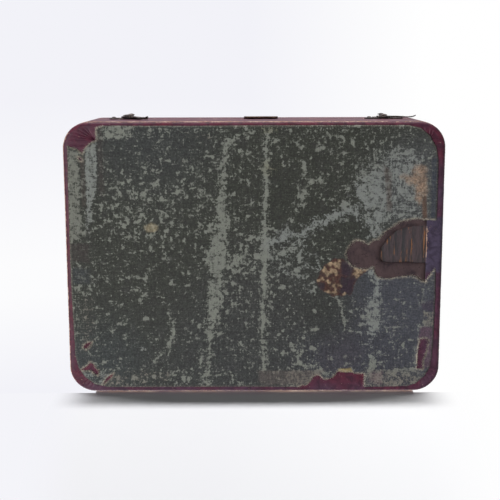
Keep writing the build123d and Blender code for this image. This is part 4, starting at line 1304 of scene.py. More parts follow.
paperStains = [
    ((150, 125, 105), 0.85, 1.3, [
        (45, -25.5), (48, -26), (49, -28.5), (51.5, -28.5), (52.3, -22), (51.5, -19), (50.5, -17.5), (49.5, -19),
        (49.5, -23), (46, -24.5),
    ]),
    ((96, 72, 58), 0.8, 0.35, [(51.2, -19.8), (52.5, -19.5), (52.7, -12.3), (51.4, -12.5)]),
    ((150, 138, 112), 0.85, 0.6, [(-33.6, -10.4), (-31.6, -11.4), (-29.6, -10.4), (-30.2, -8.9), (-32.8, -8.8)]),
    ((70, 62, 58), 0.6, 0.4, [(-52.6, -31), (-51.4, -31), (-51.3, -17), (-52.4, -16.6)]),
    ((60, 54, 52), 0.8, 0.6, [(-56, -5), (-53, -5.4), (-50.8, -4.8), (-51, 0.6), (-55.8, 0.2)]),
    ((96, 82, 70), 0.7, 0.6, [(-53.4, -3.4), (-51, -3.4), (-51, 0), (-53.4, 0.4)]),
    ((58, 60, 62), 0.7, 0.7, [(-56, 2.6), (-50.6, 2.8), (-51, 7.4), (-55.8, 7.2)]),
    ((66, 58, 56), 0.5, 0.6, [(-47.3, -40), (-45.8, -40), (-45.8, -20), (-47.3, -20)]),
    ((80, 68, 62), 0.6, 0.6, [(39.4, -29), (41.6, -27), (41.8, -15), (40.4, -15), (40.4, -22)]),
    ((54, 57, 66), 0.85, 0.3, [(53.9, -31), (55.7, -31), (55.7, -12.6), (53.9, -12.9)]),
    ((62, 54, 66), 0.85, 0.4, [(51.6, 13.8), (55.9, 12.6), (55.9, 16.2), (52.2, 16.2)]),
    ((92, 70, 82), 0.75, 0.5, [(51.6, 21.4), (55.6, 21.6), (55.5, 33.8), (52.6, 35), (51, 30)]),
    ((112, 104, 98), 0.7, 0.5, [(53, 22.6), (55.3, 22.4), (55.2, 25.4), (53, 25)]),
    ((120, 116, 112), 0.75, 0.5, [(53.2, 31), (55.2, 30.4), (55, 33.6), (53.4, 34.6)]),
    ((150, 134, 92), 0.95, 0.25, [(26.4, 34.9), (30.4, 34.6), (30.8, 35.9), (26.2, 35.8)]),
    ((96, 88, 84), 0.6, 0.5, [(1, 35.6), (22, 35.3), (16, 39.6), (2, 39.8)]),
    ((116, 96, 98), 0.5, 0.9, [(36, 36.2), (40, 35.8), (40, 39.4), (36.4, 39)]),
    ((74, 68, 74), 0.35, 5, [(23, 27), (30, 25.5), (33, 29), (31, 34), (25, 34.5), (22, 31)]),
]
# The flaked brown patch: its outline, the darker part of it, and the pale flakes left on it (x, y, size)
rustPatch = {
    "outline": [
        (19.4, 6.2), (20.6, 3.6), (21.5, 1.5), (23, 0.4), (25, -0.5), (27.5, -0.4), (28.6, 0.6), (29.8, 2.2),
        (31.4, 2.4), (33, 3), (35, 3), (33.6, 5), (32.2, 5.8), (31.6, 7.4), (30.6, 9.4), (29.8, 11.2), (27.5, 11.3),
        (25.5, 11.4), (24, 11.8), (22.8, 10.8), (21.3, 10.4), (20.6, 9.4), (19.6, 8),
    ],
    "brown": (70, 46, 40),
    "deep": (48, 36, 44),
    "deepParts": [
        [(27, 0.8), (28.6, 0.8), (30.2, 3.2), (29.4, 5), (27, 4.6)],
        [(27, 5.4), (31.2, 6), (30.2, 9.6), (29.4, 11), (26.6, 10.8)],
        [(20.2, 7.2), (21.8, 7.4), (21.6, 9.2), (20, 8.8)],
    ],
    "flake": (156, 134, 108),
    "flakes": [
        (25.5, 1.8, 1.5), (23.2, 1.3, 0.8), (26.4, 0.4, 0.6), (21.6, 3, 1.1), (22.4, 4.4, 0.9), (24.6, 3.6, 1.3),
        (25.2, 4.6, 0.7), (31.4, 2.8, 1), (32.4, 3.6, 1.1), (30.8, 4.4, 0.9), (32, 5.2, 0.6), (34, 3, 0.8),
        (20.6, 6.3, 0.8), (22.8, 7.2, 0.8), (22.8, 8.4, 0.5), (24.6, 8.2, 0.7), (25, 9.2, 0.7), (26.2, 8.2, 0.6),
        (24.8, 10.4, 0.8), (23.2, 10, 0.9), (22, 10.4, 0.6), (25.4, 11.4, 0.7), (24.2, 5.6, 0.5), (19.6, 6.2, 0.6),
        (27.8, 10.9, 0.4),
    ],
}
flakeTones = {
    "pale": (134, 136, 126),
    "cool": (138, 141, 137),
    "band": (124, 124, 114),
    "warm": (130, 121, 110),
    "yellow": (142, 137, 106),
}
# Ground tones and where each lies: (colour, x, y, reach)
groundTones = [
    ((52, 53, 47), -25, -14, 30), ((56, 58, 58), -30, -34, 16), ((51, 52, 46), 18, -20, 24),
    ((56, 57, 56), -10, 30, 22), ((68, 69, 75), 45, 14, 15), ((60, 60, 66), 30, 28, 14), ((54, 55, 50), -40, 16, 22),
    ((58, 62, 63), -46, 30, 12), ((74, 75, 75), 46, -22, 10), ((58, 58, 56), 0, 10, 16), ((48, 49, 42), 24, 18, 9),
]

# How thickly the loose flecks lie: (share, x, y, reach)
fleckDensity = [
    (0.95, -33, -15, 8), (0.75, -24, -22, 8), (0.1, -28, -35, 7), (0.4, -42, 4, 8), (0.25, -30, 18, 9),
    (0.3, -40, 29, 8), (0.95, -8, -4, 6), (0.85, 10, 1, 7), (0.15, 13, -20, 8), (0.5, 20, -33, 7), (0.7, 35, -20, 8),
    (0.08, 28, 18, 8), (0.4, 12, 20, 7), (0.7, 15, 31, 5), (0.3, -4, 26, 7), (0.5, -22, 36, 5), (0.3, 46, 20, 8),
    (0.9, -53, -20, 6), (0.5, 49, -36, 6), (0.2, -20, 4, 6), (0.5, -2, -24, 6), (0.25, 28, -3, 6), (0.6, -8, 13, 6),
    (0.15, -36, -37, 5),
]


# Blends values that are each strongest at their own place, within a narrowed reach
def blendOf(x, y, entries, narrowing):
    total, weight = 0.0, np.full(len(x), 1e-6)
    for value, px, py, reach in entries:
        pull = np.exp(-((x - px) ** 2 + (y - py) ** 2) / (2 * (reach * narrowing) ** 2)) + 1e-4
        total = total + pull[:, None] * value
        weight += pull
    return total / weight[:, None]


def raisedOverTurnIn(x, y):
    left, right, front, back = openingAt(y)
    outside = np.maximum(np.maximum(left - x, x - right), np.maximum(front - y, y - back))
    return smooth(-0.5, 0.45, outside + 0.25 * fieldNoise(x, y, 2.2, 41.0))


# How strongly the marks are laid on, as shares of flaked surface, and how large the flecks come out
paint = {
    "plain": 0.2,
    "turnIn": 0.08,
    "area": 0.62,
    "streak": 0.76,
    "wideStreak": 0.62,
    "wideFrom": 1.9,
    "streakHalo": 0.4,
    "cluster": 0.64,
    "fine": 0.52,
    "fleck": 0.72,
    "fleckHalo": 0.36,
    "fleckSize": 0.55,
    "rustFleckSize": 0.68,
}


# Share of flakes and their colour at every point, from the areas, the streaks, the loose flecks and the placed ones
def flakesOn(points, rag, ragged):
    x, y = points[:, 0], points[:, 1]
    share = paint["plain"] + 0.14 * fieldNoise(x, y, 9.0, 6.0) + 0.1 * fieldNoise(x, y, 2.4, 8.0)
    share = share + paint["turnIn"] * raisedOverTurnIn(x, y)
    toneSum = np.zeros((len(x), 3)) + rgbOf(flakeTones["pale"]) * 0.4
    toneWeight = np.full(len(x), 0.4)

    def mark(mask, strength, tone):
        nonlocal share
        share = np.maximum(share, mask * strength)
        toneSum[:] += mask[:, None] * rgbOf(flakeTones[tone])
        toneWeight[:] += mask

    for strength, tone, softness, outline in paperAreas:
        gap = polygonDistance(points, outline) + softness * 0.9 * rag
        mark(smooth(softness * 1.3, -softness, gap), strength * paint["area"] - 0.05 * ragged, tone)
    for strength, tone, widths, line in paperWear["streaks"]:
        broken = 0.45 * min(max(widths), 2.4) / 1.2
        gap = strokeDistance(points, line, widths) + broken * (0.5 * rag + 0.6 * ragged)
        width = "streak" if max(widths) < paint["wideFrom"] else "wideStreak"
        mark(smooth(0.6, -0.5, gap), strength * paint[width], tone)
        mark(smooth(3.2, 0.2, gap), paint["streakHalo"] * strength, tone)
    # loose clusters of small ragged flecks, thicker in some parts than in others
    density = np.clip(blendOf(x, y, fleckDensity, 0.7)[:, 0] + 0.25 * fieldNoise(x, y, 5.0, 62.0), 0.0, 1.0)
    cluster = fieldNoise(x, y, 1.7, 61.0, 3) + 0.4 * ragged + 0.55 * density
    mark(smooth(0.72, 1.0, cluster), paint["cluster"], "pale")
    fine = fieldNoise(x, y, 0.75, 63.0, 2) + 0.3 * density
    mark(smooth(0.5, 0.72, fine), paint["fine"], "pale")
    share += 0.08 * (density - 0.4)
    for fx, fy, size in paperWear["flecks"]:
        near = (np.abs(x - fx) < 5.0) & (np.abs(y - fy) < 5.0)
        gap = np.full(len(x), 9.0)
        gap[near] = np.hypot(x[near] - fx, (y[near] - fy) * 1.1) - size * paint["fleckSize"]
        gap[near] += 0.7 * rag[near] + 0.8 * ragged[near]
        mark(smooth(0.6, -0.5, gap), paint["fleck"], "pale")
        mark(smooth(1.6, 0.2, gap), paint["fleckHalo"], "pale")
    return share, toneSum / toneWeight[:, None]


# Stain colour and how far it covers the ground, with the flaked brown patch laid over the other stains
def stainsOn(points, rag):
    x, y = points[:, 0], points[:, 1]
    stain, stainShare = np.full((len(x), 3), 0.1), np.zeros(len(x))
    for colour, strength, softness, outline in paperStains:
        gap = polygonDistance(points, outline) + softness * 0.8 * rag
        mask = smooth(softness, -softness * 0.6, gap) * strength
        stain = np.where(mask[:, None] > stainShare[:, None], rgbOf(colour), stain)
        stainShare = np.maximum(stainShare, mask)
    rust = smooth(0.15, -0.25, polygonDistance(points, rustPatch["outline"]) + 0.7 * rag)
    brown = np.zeros((len(x), 3)) + rgbOf(rustPatch["brown"])
    for part in rustPatch["deepParts"]:
        deep = smooth(0.5, -0.3, polygonDistance(points, part) + 0.4 * rag)
        brown += deep[:, None] * (rgbOf(rustPatch["deep"]) - brown)
    left = np.zeros(len(x))
    for fx, fy, size in rustPatch["flakes"]:
        gap = np.hypot(x - fx, y - fy) - size * paint["rustFleckSize"] + 0.75 * fieldNoise(x, y, 0.9, 17.0, 2)
        left = np.maximum(left, smooth(0.2, -0.2, gap))
    brown += left[:, None] * (rgbOf(rustPatch["flake"]) - brown)
    stain = np.where(rust[:, None] > 0.3, brown, stain)
    return stain, np.maximum(stainShare * (1 - rust), rust), rust


def paintPaper(piece, points, edgeGap):
    x, y = points[:, 0], points[:, 1]
    rag, ragged = fieldNoise(x, y, 1.3, 3.0, 3), fieldNoise(x, y, 0.7, 5.0, 1)
    share, flake = flakesOn(points, rag, ragged)
    stain, stainShare, rust = stainsOn(points, rag)
    share = np.where(rust > 0.4, 0.0, share)
    ground = blendOf(x, y, [(rgbOf(colour), gx, gy, spread) for colour, gx, gy, spread in groundTones], 0.6)
    torn, plain = edgeGap
    fibre = np.maximum(smooth(0.75, 0.1, torn + 0.3 * rag), 0.3 * smooth(0.5, 0.0, plain))
    for name, colours in (("flake", flake), ("ground", ground), ("stain", stain)):
        addColours(piece, name, np.hstack([colours, np.ones((len(x), 1))]))
    for name, values in (("worn", np.clip(share, 0, 1)), ("stainShare", stainShare), ("fibre", fibre)):
        addValues(piece, name, values)


# A closed sheet from loops: a fine visible face, a plain back and a wall between them
def closedSheet(name, loops, spacing, faceHeight, backHeight, coarse):
    facePoints, fineFaces = fillRegion(loops, spacing)
    backPoints, coarseFaces = fillRegion(loops, coarse)
    top = np.column_stack([facePoints, faceHeight(facePoints)])
    back = np.column_stack([backPoints, np.full(len(backPoints), backHeight)])
    shift = len(top)
    # the visible face looks down, so its triangles run clockwise from above
    faces = [tuple(t[::-1]) for t in fineFaces] + [tuple(t + shift) for t in coarseFaces]
    first = 0
    for loop in loops:
        ring = [first + k for k in range(len(loop))]
        faces += [(a, b, b + shift, a + shift) for a, b in zip(ring, ring[1:] + ring[:1])]
        first += len(loop)
    piece = makeMesh(name, np.concatenate([top, back]), faces)
    return piece, np.concatenate([facePoints, backPoints])


def buildPaper():
    shape = paperShape
    loop, tornParts = [], []
    for seed, (key, fray) in enumerate(shape["fray"].items(), 1):
        part = frayed(shape[key], shape["step"], fray, seed)
        loop.append(part[:-1])
        if "Tear" in key:
            tornParts.append(part)
    outer = np.concatenate(loop)
    holes = [frayed(h, 0.36, 0.14, 20.0 + k, closed=True) for k, h in enumerate(shape["holes"])]
    cut = frayed(outer, 50.0, 0.0, 1.0, closed=True)

    def gaps(points):
        torn = np.full(len(points), 9.0)
        for line in tornParts + holes:
            torn = np.minimum(torn, strokeDistance(points, line))
        return torn, strokeDistance(points, np.vstack([cut, cut[:1]]), 0.0, 1.0)

    def surface(points):
        x, y = points[:, 0], points[:, 1]
        torn = gaps(points)[0]
        z = 0.15 - 0.11 * raisedOverTurnIn(x, y)
        for streak in paperWear["streaks"][:3]:
            z -= 0.07 * smooth(0.9, 0.0, strokeDistance(points, streak[3], streak[2]))
        ripple = 0.012 * fieldNoise(x, y, 3.0, 50.0) + 0.008 * fieldNoise(x, y, 0.9, 51.0)
        rustHollow = 0.05 * smooth(0.2, -0.3, polygonDistance(points, rustPatch["outline"]))
        curl = smooth(1.5, 0.0, torn) * (0.05 + 0.05 * fieldNoise(x, y, 2.0, 52.0))
        return np.clip(z + ripple + rustHollow - curl, 0.004, 0.2)

    piece, points = closedSheet("paperPanel", [outer] + holes, shape["spacing"], surface, case["paper"], 5.0)
    paintPaper(piece, points, gaps(points))
    return piece


paperPanel = settle(buildPaper(), "base", abradedPaper, "paper_grey", "base_bottom_paper")
print("paper panel laid:", len(paperPanel.data.polygons), "faces")

# Brown card that fills the bottom level with the turned-in leather, broken away over the floor board
card = {
    "thickness": 0.7,
    "spacing": 1,
    "gap": 0.06,
    "broken": [
        (52.9, -10.6), (50, -10.4), (47.5, -10.2), (45, -9.6), (43.2, -8.6), (41.6, -7.2), (40.2, -5.6), (39.2, -4),
        (38.6, -2), (38.5, -0.2), (39.2, 0.8), (42, 1.1), (46, 0.9), (50, 1.2), (52.9, 1.2),
    ],
}


def buildCard():
    left, right, front, back = case["turnIn"]
    gap = card["gap"]
    side = [(float(openingAt(y)[1]) - gap, y) for y in (12.0, 15.0, 18.0, 21.0, 25.0, 30.0)]
    outline = [(left + gap, front + gap), (right - gap, front + gap)]
    outline += [(right - gap, -10.6)] + [tuple(p) for p in frayed(card["broken"], 0.45, 0.34, 60.0)[1:-1]]
    outline += [(right - gap, 1.2)] + side + [(side[-1][0], back - gap), (left + gap, back - gap)]
    outline = frayed(outline, 1.0, 0.0, 1.0, closed=True)
    outline = np.minimum(outline, [right - gap, back - gap])

    def surface(points):
        worn = strokeDistance(points, card["broken"])
        uneven = 0.03 * (1 + fieldNoise(points[:, 0], points[:, 1], 1.8, 61.0))
        return case["paper"] + 0.02 + uneven + 0.16 * smooth(1.0, 0.0, worn)

    bottom = case["paper"] + card["thickness"]
    return closedSheet("infillCard", [outline], card["spacing"], surface, bottom - 0.01, 6.0)[0]


settle(buildCard(), "base", brownCard, "card_brown", "base_infill_card")
print("card laid")


# Sets a closed loop in by a distance, with mitred corners; anticlockwise loops shrink and clockwise ones grow
def insetLoop(loop, distance):
    before, after = loop - np.roll(loop, 1, axis=0), np.roll(loop, -1, axis=0) - loop
    before /= np.maximum(np.linalg.norm(before, axis=1), 1e-9)[:, None]
    after /= np.maximum(np.linalg.norm(after, axis=1), 1e-9)[:, None]
    left = np.column_stack([-before[:, 1], before[:, 0]])
    right = np.column_stack([-after[:, 1], after[:, 0]])
    return loop + distance * (left + right) / np.maximum(1.0 + (left * right).sum(1), 0.4)[:, None]


# A raised slab from flat loops, whose front and back edges are eased round; gives points (u, v, w) and faces
def slab(loops, thickness, easing, spacing, steps=3):
    loops = [np.asarray(loop, float) for loop in loops]
    turns = [math.pi / 2 * k / steps for k in range(steps + 1)]
    rows = [(easing * (1 - math.sin(t)), easing * (1 - math.cos(t))) for t in turns]
    rows += [(inset, thickness - level) for inset, level in reversed(rows)]
    points, faces, starts = [], [], []
    for loop in loops:
        first, count = len(points), len(loop)
        starts.append(first)
        for inset, level in rows:
            points += [(u, v, level) for u, v in insetLoop(loop, inset)]
        for row in range(len(rows) - 1):
            for k in range(count):
                a, b = first + row * count + k, first + row * count + (k + 1) % count
                faces.append((a, b, b + count, a + count))
    every, triangles = fillRegion([insetLoop(loop, easing) for loop in loops], spacing)
    border = sum(len(loop) for loop in loops)
    for row, level in ((0, 0.0), (len(rows) - 1, thickness)):
        place = [first + row * len(loop) + k for loop, first in zip(loops, starts) for k in range(len(loop))]
        place += range(len(points), len(points) + len(every) - border)
        points += [(u, v, level) for u, v in every[border:]]
        place = np.array(place)
        faces += [tuple(place[t] if row else place[t[::-1]]) for t in triangles]
    return np.array(points), faces


# A turned piece about w from a profile of (radius, level), low end first
def turned(profile, count=36):
    points, faces, rings = [], [], []
    for radius, level in profile:
        first = len(points)
        if radius < 1e-6:
            points.append((0.0, 0.0, level))
            rings.append([first] * count)
        else:
            angles = [2 * math.pi * k / count for k in range(count)]
            points += [(radius * math.cos(a), radius * math.sin(a), level) for a in angles]
            rings.append(list(range(first, first + count)))
    for low, high in zip(rings[:-1], rings[1:]):
        for k in range(count):
            corners = (low[k], low[(k + 1) % count], high[(k + 1) % count], high[k])
            faces.append(tuple(dict.fromkeys(corners)))
    return np.array(points), faces


# A rounded corner of a turned profile, from one angle to another in degrees
def bend(centreRadius, centreLevel, radius, start, end, steps=5):
    angles = [start + (end - start) * k / steps for k in range(steps + 1)]
    return arc(centreRadius, centreLevel, radius, radius, angles)


def circleLoop(radius, count=40, centre=(0.0, 0.0), clockwise=False):
    turn = -1.0 if clockwise else 1.0
    angles = [turn * 2 * math.pi * k / count for k in range(count)]
    return [(centre[0] + radius * math.cos(a), centre[1] + radius * math.sin(a)) for a in angles]


# Lays (u, v, w) points on the case's front, w outwards, with u turned up from +X by an angle
def onFront(points, x, z, angle=0.0):
    c, s = math.cos(math.radians(angle)), math.sin(math.radians(angle))
    u, v, w = points.T
    return np.column_stack([x + u * c - v * s, frontY - w, z + u * s + v * c])


def mergeParts(parts):
    points, faces, shift = [], [], 0
    for somePoints, someFaces in parts:
        points.append(somePoints)
        faces += [tuple(int(i) + shift for i in f) for f in someFaces]
        shift += len(somePoints)
    return np.concatenate(points), faces


# One finished metal piece: crisp edges, slight unevenness of hand work, material and body
def metalPiece(name, points, faces, body, material, slot, *replaced, dent):
    x, y, z = points.T
    wave = [fieldNoise(x + axis * 9.0, z + y, 1.7, 70.0 + axis, 2) for axis in range(3)]
    piece = makeMesh(name, points + dent * np.column_stack(wave), faces)
    sharpen(piece, 40.0)
    return settle(piece, body, material, slot, *replaced)


# The catches on the front: plates, swing hooks, pivots and keepers, in millimetres
catch = {
    "plateHalf": 6.2,
    "plateEar": 1.5,
    "plateThick": 0.35,
    "plateEasing": 0.1,
    "nailPitch": 9.4,
    "eye": 2.35,
    "hookLevel": 0.45,
    "hookThick": 0.48,
    "hookEasing": 0.13,
    "hookAngles": (-46.0, 0.0),
    "armRoot": 1.1,
    "armTip": 0.72,
    "clawOuter": 1.78,
    "clawInner": 0.93,
    "tailEnd": 10.2,
    "tailLift": 0.5,
    "shank": 0.55,
    "shankDepth": 2.7,
    "headLevel": 1.05,
    "headHeight": 0.5,
    "headRadii": (1.8, 1.15),
    "studHead": 1.12,
    "keeperHalf": 3.0,
    "keeperRise": 1.6,
    "headRim": 0.13,
    "fit": 0.03,
    "pinPlay": 0.05,
    "nailHole": 0.36,
    "blendSharpness": 7.0,
    "peenSeed": 81.0,
}


# Plate with a round boss between two ears, blended by a soft maximum of the two heights
def plateLoop():
    ear, half, eye, sharp = catch["plateEar"], catch["plateHalf"], catch["eye"], catch["blendSharpness"]
    upper = []
    for k in range(81):
        u = half * math.cos(math.pi * k / 80)
        boss = math.sqrt(max(eye**2 - u * u, 0.0))
        tip = max(abs(u) - half + ear, 0.0)
        wing = math.sqrt(max(ear**2 - tip * tip, 0.0))
        blend = math.log(math.exp(sharp * boss) + math.exp(sharp * wing)) / sharp if boss > 0.4 else wing
        upper.append((u, min(blend, eye)))
    upper[0], upper[-1] = (half, 0.0), (-half, 0.0)
    return upper + [(u, -v) for u, v in reversed(upper[1:-1])]


def buildCatchPlate(index):
    holes = [circleLoop(catch["shank"] + catch["fit"], 24, clockwise=True)]
    for side in (-1, 1):
        centre = (side * catch["nailPitch"] / 2, 0.0)
        holes.append(circleLoop(catch["nailHole"], 12, centre, clockwise=True))
    points, faces = slab([plateLoop()] + holes, catch["plateThick"], catch["plateEasing"], 0.5)
    # the boss is pressed up a little round the pin
    lift = 0.06 * smooth(2.3, 1.4, np.hypot(points[:, 0], points[:, 1]))
    points[:, 2] += lift * (points[:, 2] > 0.1)
    return onFront(points, case["catchX"][index], case["pivotZ"]), faces


# Outline of a hook, anticlockwise: eye, tapered arm, claw open to +v, and a narrowing tail
def hookLoop():
    pitch, outer, inner = case["hookPitch"], catch["clawOuter"], catch["clawInner"]
    root, tip, eye = catch["armRoot"], catch["armTip"], catch["eye"]
    slope = (root - tip) / pitch
    start = math.degrees(math.asin((root - slope * 2.1) / eye))
    points = arc(0.0, 0.0, eye, eye, np.linspace(start, 360 - start, 44))
    points += [(u, -(root - slope * u)) for u in np.linspace(2.5, 5.6, 8)]
    low = math.degrees(math.asin(-(root - slope * 5.8) / outer))
    points += arc(pitch, 0.0, outer, outer, np.linspace(-180 - low, -46, 12))
    end = catch["tailEnd"]
    points += [(8.95, -1.08), (9.4, -0.92), (9.8, -0.8), (end - 0.12, -0.7), (end, -0.5), (end, -0.22)]
    points += [(end - 0.12, -0.04), (9.7, 0.06), (9.3, 0.2)]
    rise = math.degrees(math.acos(inner / outer))
    points += arc(pitch, 0.0, outer, outer, np.linspace(14, rise - 8, 5))
    points += [(pitch + inner + 0.1, outer * 0.86), (pitch + inner, outer * 0.72), (pitch + inner, 0.5)]
    points += arc(pitch, 0.0, inner, inner, np.linspace(0, -180, 16))
    points += [(pitch - inner, 0.5), (pitch - inner, outer * 0.72), (pitch - inner - 0.1, outer * 0.86)]
    points += arc(pitch, 0.0, -outer, outer, np.linspace(rise - 8, 27, 5))
    points += [(u, root - slope * u) for u in np.linspace(5.5, 2.5, 8)]
    return points


def buildHook(index):
    hole = circleLoop(catch["shank"] + catch["pinPlay"], 28, clockwise=True)
    points, faces = slab([hookLoop(), hole], catch["hookThick"], catch["hookEasing"], 0.38)
    u, v, w = points.T
    share = w / catch["hookThick"]
    # the eye is domed towards the pin, the arm is forged thinner towards the tail, and the tail curls out
    dome = 0.05 * smooth(2.3, 1.0, np.hypot(u, v)) * share
    thin = -0.17 * smooth(2.6, 8.6, u) * share
    curl = catch["tailLift"] * np.clip((u - 8.7) / 1.5, 0, 1) ** 1.6
    groove = -0.05 * smooth(0.16, 0.0, np.abs(u - 3.0)) * smooth(0.5, 0.9, share)
    points[:, 2] = w + dome + thin + curl + groove + catch["hookLevel"]
    return onFront(points, case["catchX"][index], case["pivotZ"], catch["hookAngles"][index]), faces


# A pin or stud: shank in the wall, a neck for the hook and a head with an eased rim and a peened crown
def buildHeadedPin(index, height, headRadius):
    shank, deep, rim = catch["shank"], -catch["shankDepth"], catch["headRim"]
    low, top = catch["headLevel"], catch["headLevel"] + catch["headHeight"]
    profile = [(0.0, deep - 0.1), (shank * 0.6, deep), (shank, deep + 0.3), (shank, low - 0.02), (shank + 0.04, low)]
    profile += bend(headRadius - rim, low + rim, rim, -90, 30, 6)
    crown = headRadius - rim * 0.2
    profile += [(crown * c, top - (top - low - rim * 1.5) * (c * c)) for c in (0.93, 0.8, 0.62, 0.42, 0.22)]
    profile += [(0.0, top)]
    points, faces = turned(profile, 36)
    away = points[:, 2] > low + rim
    peen = fieldNoise(points[:, 0] * 1.3 + index * 5.0, points[:, 1] * 1.3 + height, 0.7, catch["peenSeed"], 1)
    points[:, 2] -= away * 0.05 * np.clip(peen, 0, 1)
    return onFront(points, case["catchX"][index], height), faces


def buildKeeperPlate(index):
    half, rise = catch["keeperHalf"], catch["keeperRise"]
    angles = [2 * math.pi * k / 72 for k in range(72)]
    # oval with a slight waist at its ends, as such small plates are cut
    loop = [(half * math.cos(a), rise * math.sin(a) * (1 - 0.06 * math.cos(2 * a) ** 4)) for a in angles]
    hole = circleLoop(catch["shank"] + catch["fit"], 24, clockwise=True)
    points, faces = slab([loop, hole], catch["plateThick"], catch["plateEasing"], 0.45)
    return onFront(points, case["catchX"][index], case["pivotZ"] + case["hookPitch"]), faces


for index, side in enumerate(("left", "right")):
    pivot = buildHeadedPin(index, case["pivotZ"], catch["headRadii"][index])
    stud = buildHeadedPin(index, case["pivotZ"] + case["hookPitch"], catch["studHead"])
    for name, shape, body, node, dent in (
        ("CatchPlate", buildCatchPlate(index), "base", "_catch_plate", 0.02),
        ("SwingHook", buildHook(index), side + "_hook", "_hook", 0.012),
        ("CatchPivot", pivot, "base", "_catch_pivot", 0.012),
        ("KeeperPlate", buildKeeperPlate(index), "lid", "_keeper_plate", 0.02),
        ("KeeperStud", stud, "lid", "_keeper_stud", 0.012),
    ):
        metalPiece(side + name, *shape, body, darkBrass, "brass_dark", side + node, dent=dent)
print("catches fitted")


# The two hinges, let into the rims along the back
hinge = {
    "barrel": 1.2,
    "bore": 0.56,
    "pin": 0.5,
    "leafThick": 0.5,
    "leafGap": 0.08,
    "knuckle": 4.5,
    "knuckleGap": 0.2,
    "easing": 0.1,
    "nailPitch": 5.0,
    "nailSide": 0.7,
    "nailFit": 0.03,
    "leafClearance": 0.2,
    "leafEasing": 0.06,
}


# Leaf plate with eased edges and three square nail holes, lying flat below or above the seam
def buildLeafPlate(centreX, side):
    half = case["hingeLength"] / 2
    inner, outer = backY - case["wall"], case["hingeY"] - hinge["barrel"] - hinge["leafClearance"]
    middle = (inner + outer) / 2
    around = [(-half, inner), (half, inner), (half, outer), (-half, outer)]
    loop = [tuple(p) for p in frayed(around, 0.6, 0.0, 1.0, closed=True)]
    hole, holes = hinge["nailSide"] / 2 + hinge["nailFit"], []
    for k in (-1, 0, 1):
        near, far = k * hinge["nailPitch"] - hole, k * hinge["nailPitch"] + hole
        holes.append([(near, middle - hole), (near, middle + hole), (far, middle + hole), (far, middle - hole)])
    points, faces = slab([loop] + holes, hinge["leafThick"], hinge["leafEasing"], 0.7, 2)
    low = case["baseHeight"] + (hinge["leafGap"] if side > 0 else -hinge["leafGap"] - hinge["leafThick"])
    return points + [centreX, 0.0, low], faces


# One knuckle: the leaf's edge rolled once round the pin, ending in a fine seam
def buildKnuckle(startX, length, side):
    barrel, bore, thick = hinge["barrel"], hinge["bore"], hinge["leafThick"]
    leafEdge = case["hingeY"] - hinge["barrel"] - 0.35
    near, far = side * hinge["leafGap"], side * (hinge["leafGap"] + thick)
    # in (y, z) from the pin: the tongue comes in on the leaf's level and runs on into the roll
    turn = math.degrees(math.asin(far * side / barrel))
    ring = arc(0.0, 0.0, barrel, side * barrel, np.linspace(180 - turn, -180 + turn * 0.35, 44))
    tongue = leafEdge - case["hingeY"]
    loop = np.array([(tongue, near), (tongue, far)] + ring + [(-barrel * 0.97, near * 0.2), (-barrel * 0.9, near)])
    area = (loop[:, 0] * np.roll(loop[:, 1], -1) - np.roll(loop[:, 0], -1) * loop[:, 1]).sum()
    if area < 0:
        loop = loop[::-1]
    points, faces = slab([loop, circleLoop(bore, 28, clockwise=True)], length, hinge["easing"], 0.5)
    u, v, w = points.T
    return np.column_stack([startX + w, case["hingeY"] + u, case["baseHeight"] + v]), faces


def buildPin(centreX):
    half, radius = case["hingeLength"] / 2, hinge["pin"]
    profile = [(0.0, -half)] + bend(radius - 0.15, -half + 0.15, 0.15, -90, 0, 4)
    profile += bend(radius - 0.15, half - 0.15, 0.15, 0, 90, 4) + [(0.0, half)]
    points, faces = turned(profile, 24)
    u, v, w = points.T
    return np.column_stack([centreX + w, case["hingeY"] + u, case["baseHeight"] + v]), faces


for centreX, side in zip(case["hingeX"], ("left", "right")):
    start = centreX - case["hingeLength"] / 2
    far = start + case["hingeLength"] - hinge["knuckle"]
    middle = start + hinge["knuckle"] + hinge["knuckleGap"]
    middleLength = case["hingeLength"] - 2 * (hinge["knuckle"] + hinge["knuckleGap"])
    baseParts = [buildLeafPlate(centreX, -1)] + [buildKnuckle(x, hinge["knuckle"], -1) for x in (start, far)]
    lidParts = [buildLeafPlate(centreX, 1), buildKnuckle(middle, middleLength, 1)]
    for name, shape, body, material, slot, node, dent in (
        ("HingeBaseLeaf", mergeParts(baseParts), "base", darkBrass, "brass_dark", "_hinge_base_leaf", 0.008),
        ("HingeLidLeaf", mergeParts(lidParts), "lid", darkBrass, "brass_dark", "_hinge_lid_leaf", 0.008),
        ("HingePin", buildPin(centreX), "base", pinBrass, "brass_pin", "_hinge_pin", 0.004),
    ):
        metalPiece(side + name, *shape, body, material, slot, side + node, dent=dent)
print("hinges fitted")


# Square nails, one at each point given: the head's radius and height, and the shank's side and length
nails = {
    "hinge": {"head": (0.35, 0.05), "sides": 4, "shank": (0.68, 3.8), "twist": 0.06, "seed": 3},
    "catchHead": {"head": (0.75, 0.42), "sides": 12, "shank": (0.56, 2.6), "twist": 0.4, "seed": 7},
    "catchFlush": {"head": (0.33, 0.04), "sides": 4, "shank": (0.56, 2.6), "twist": 0.06, "seed": 11},
}
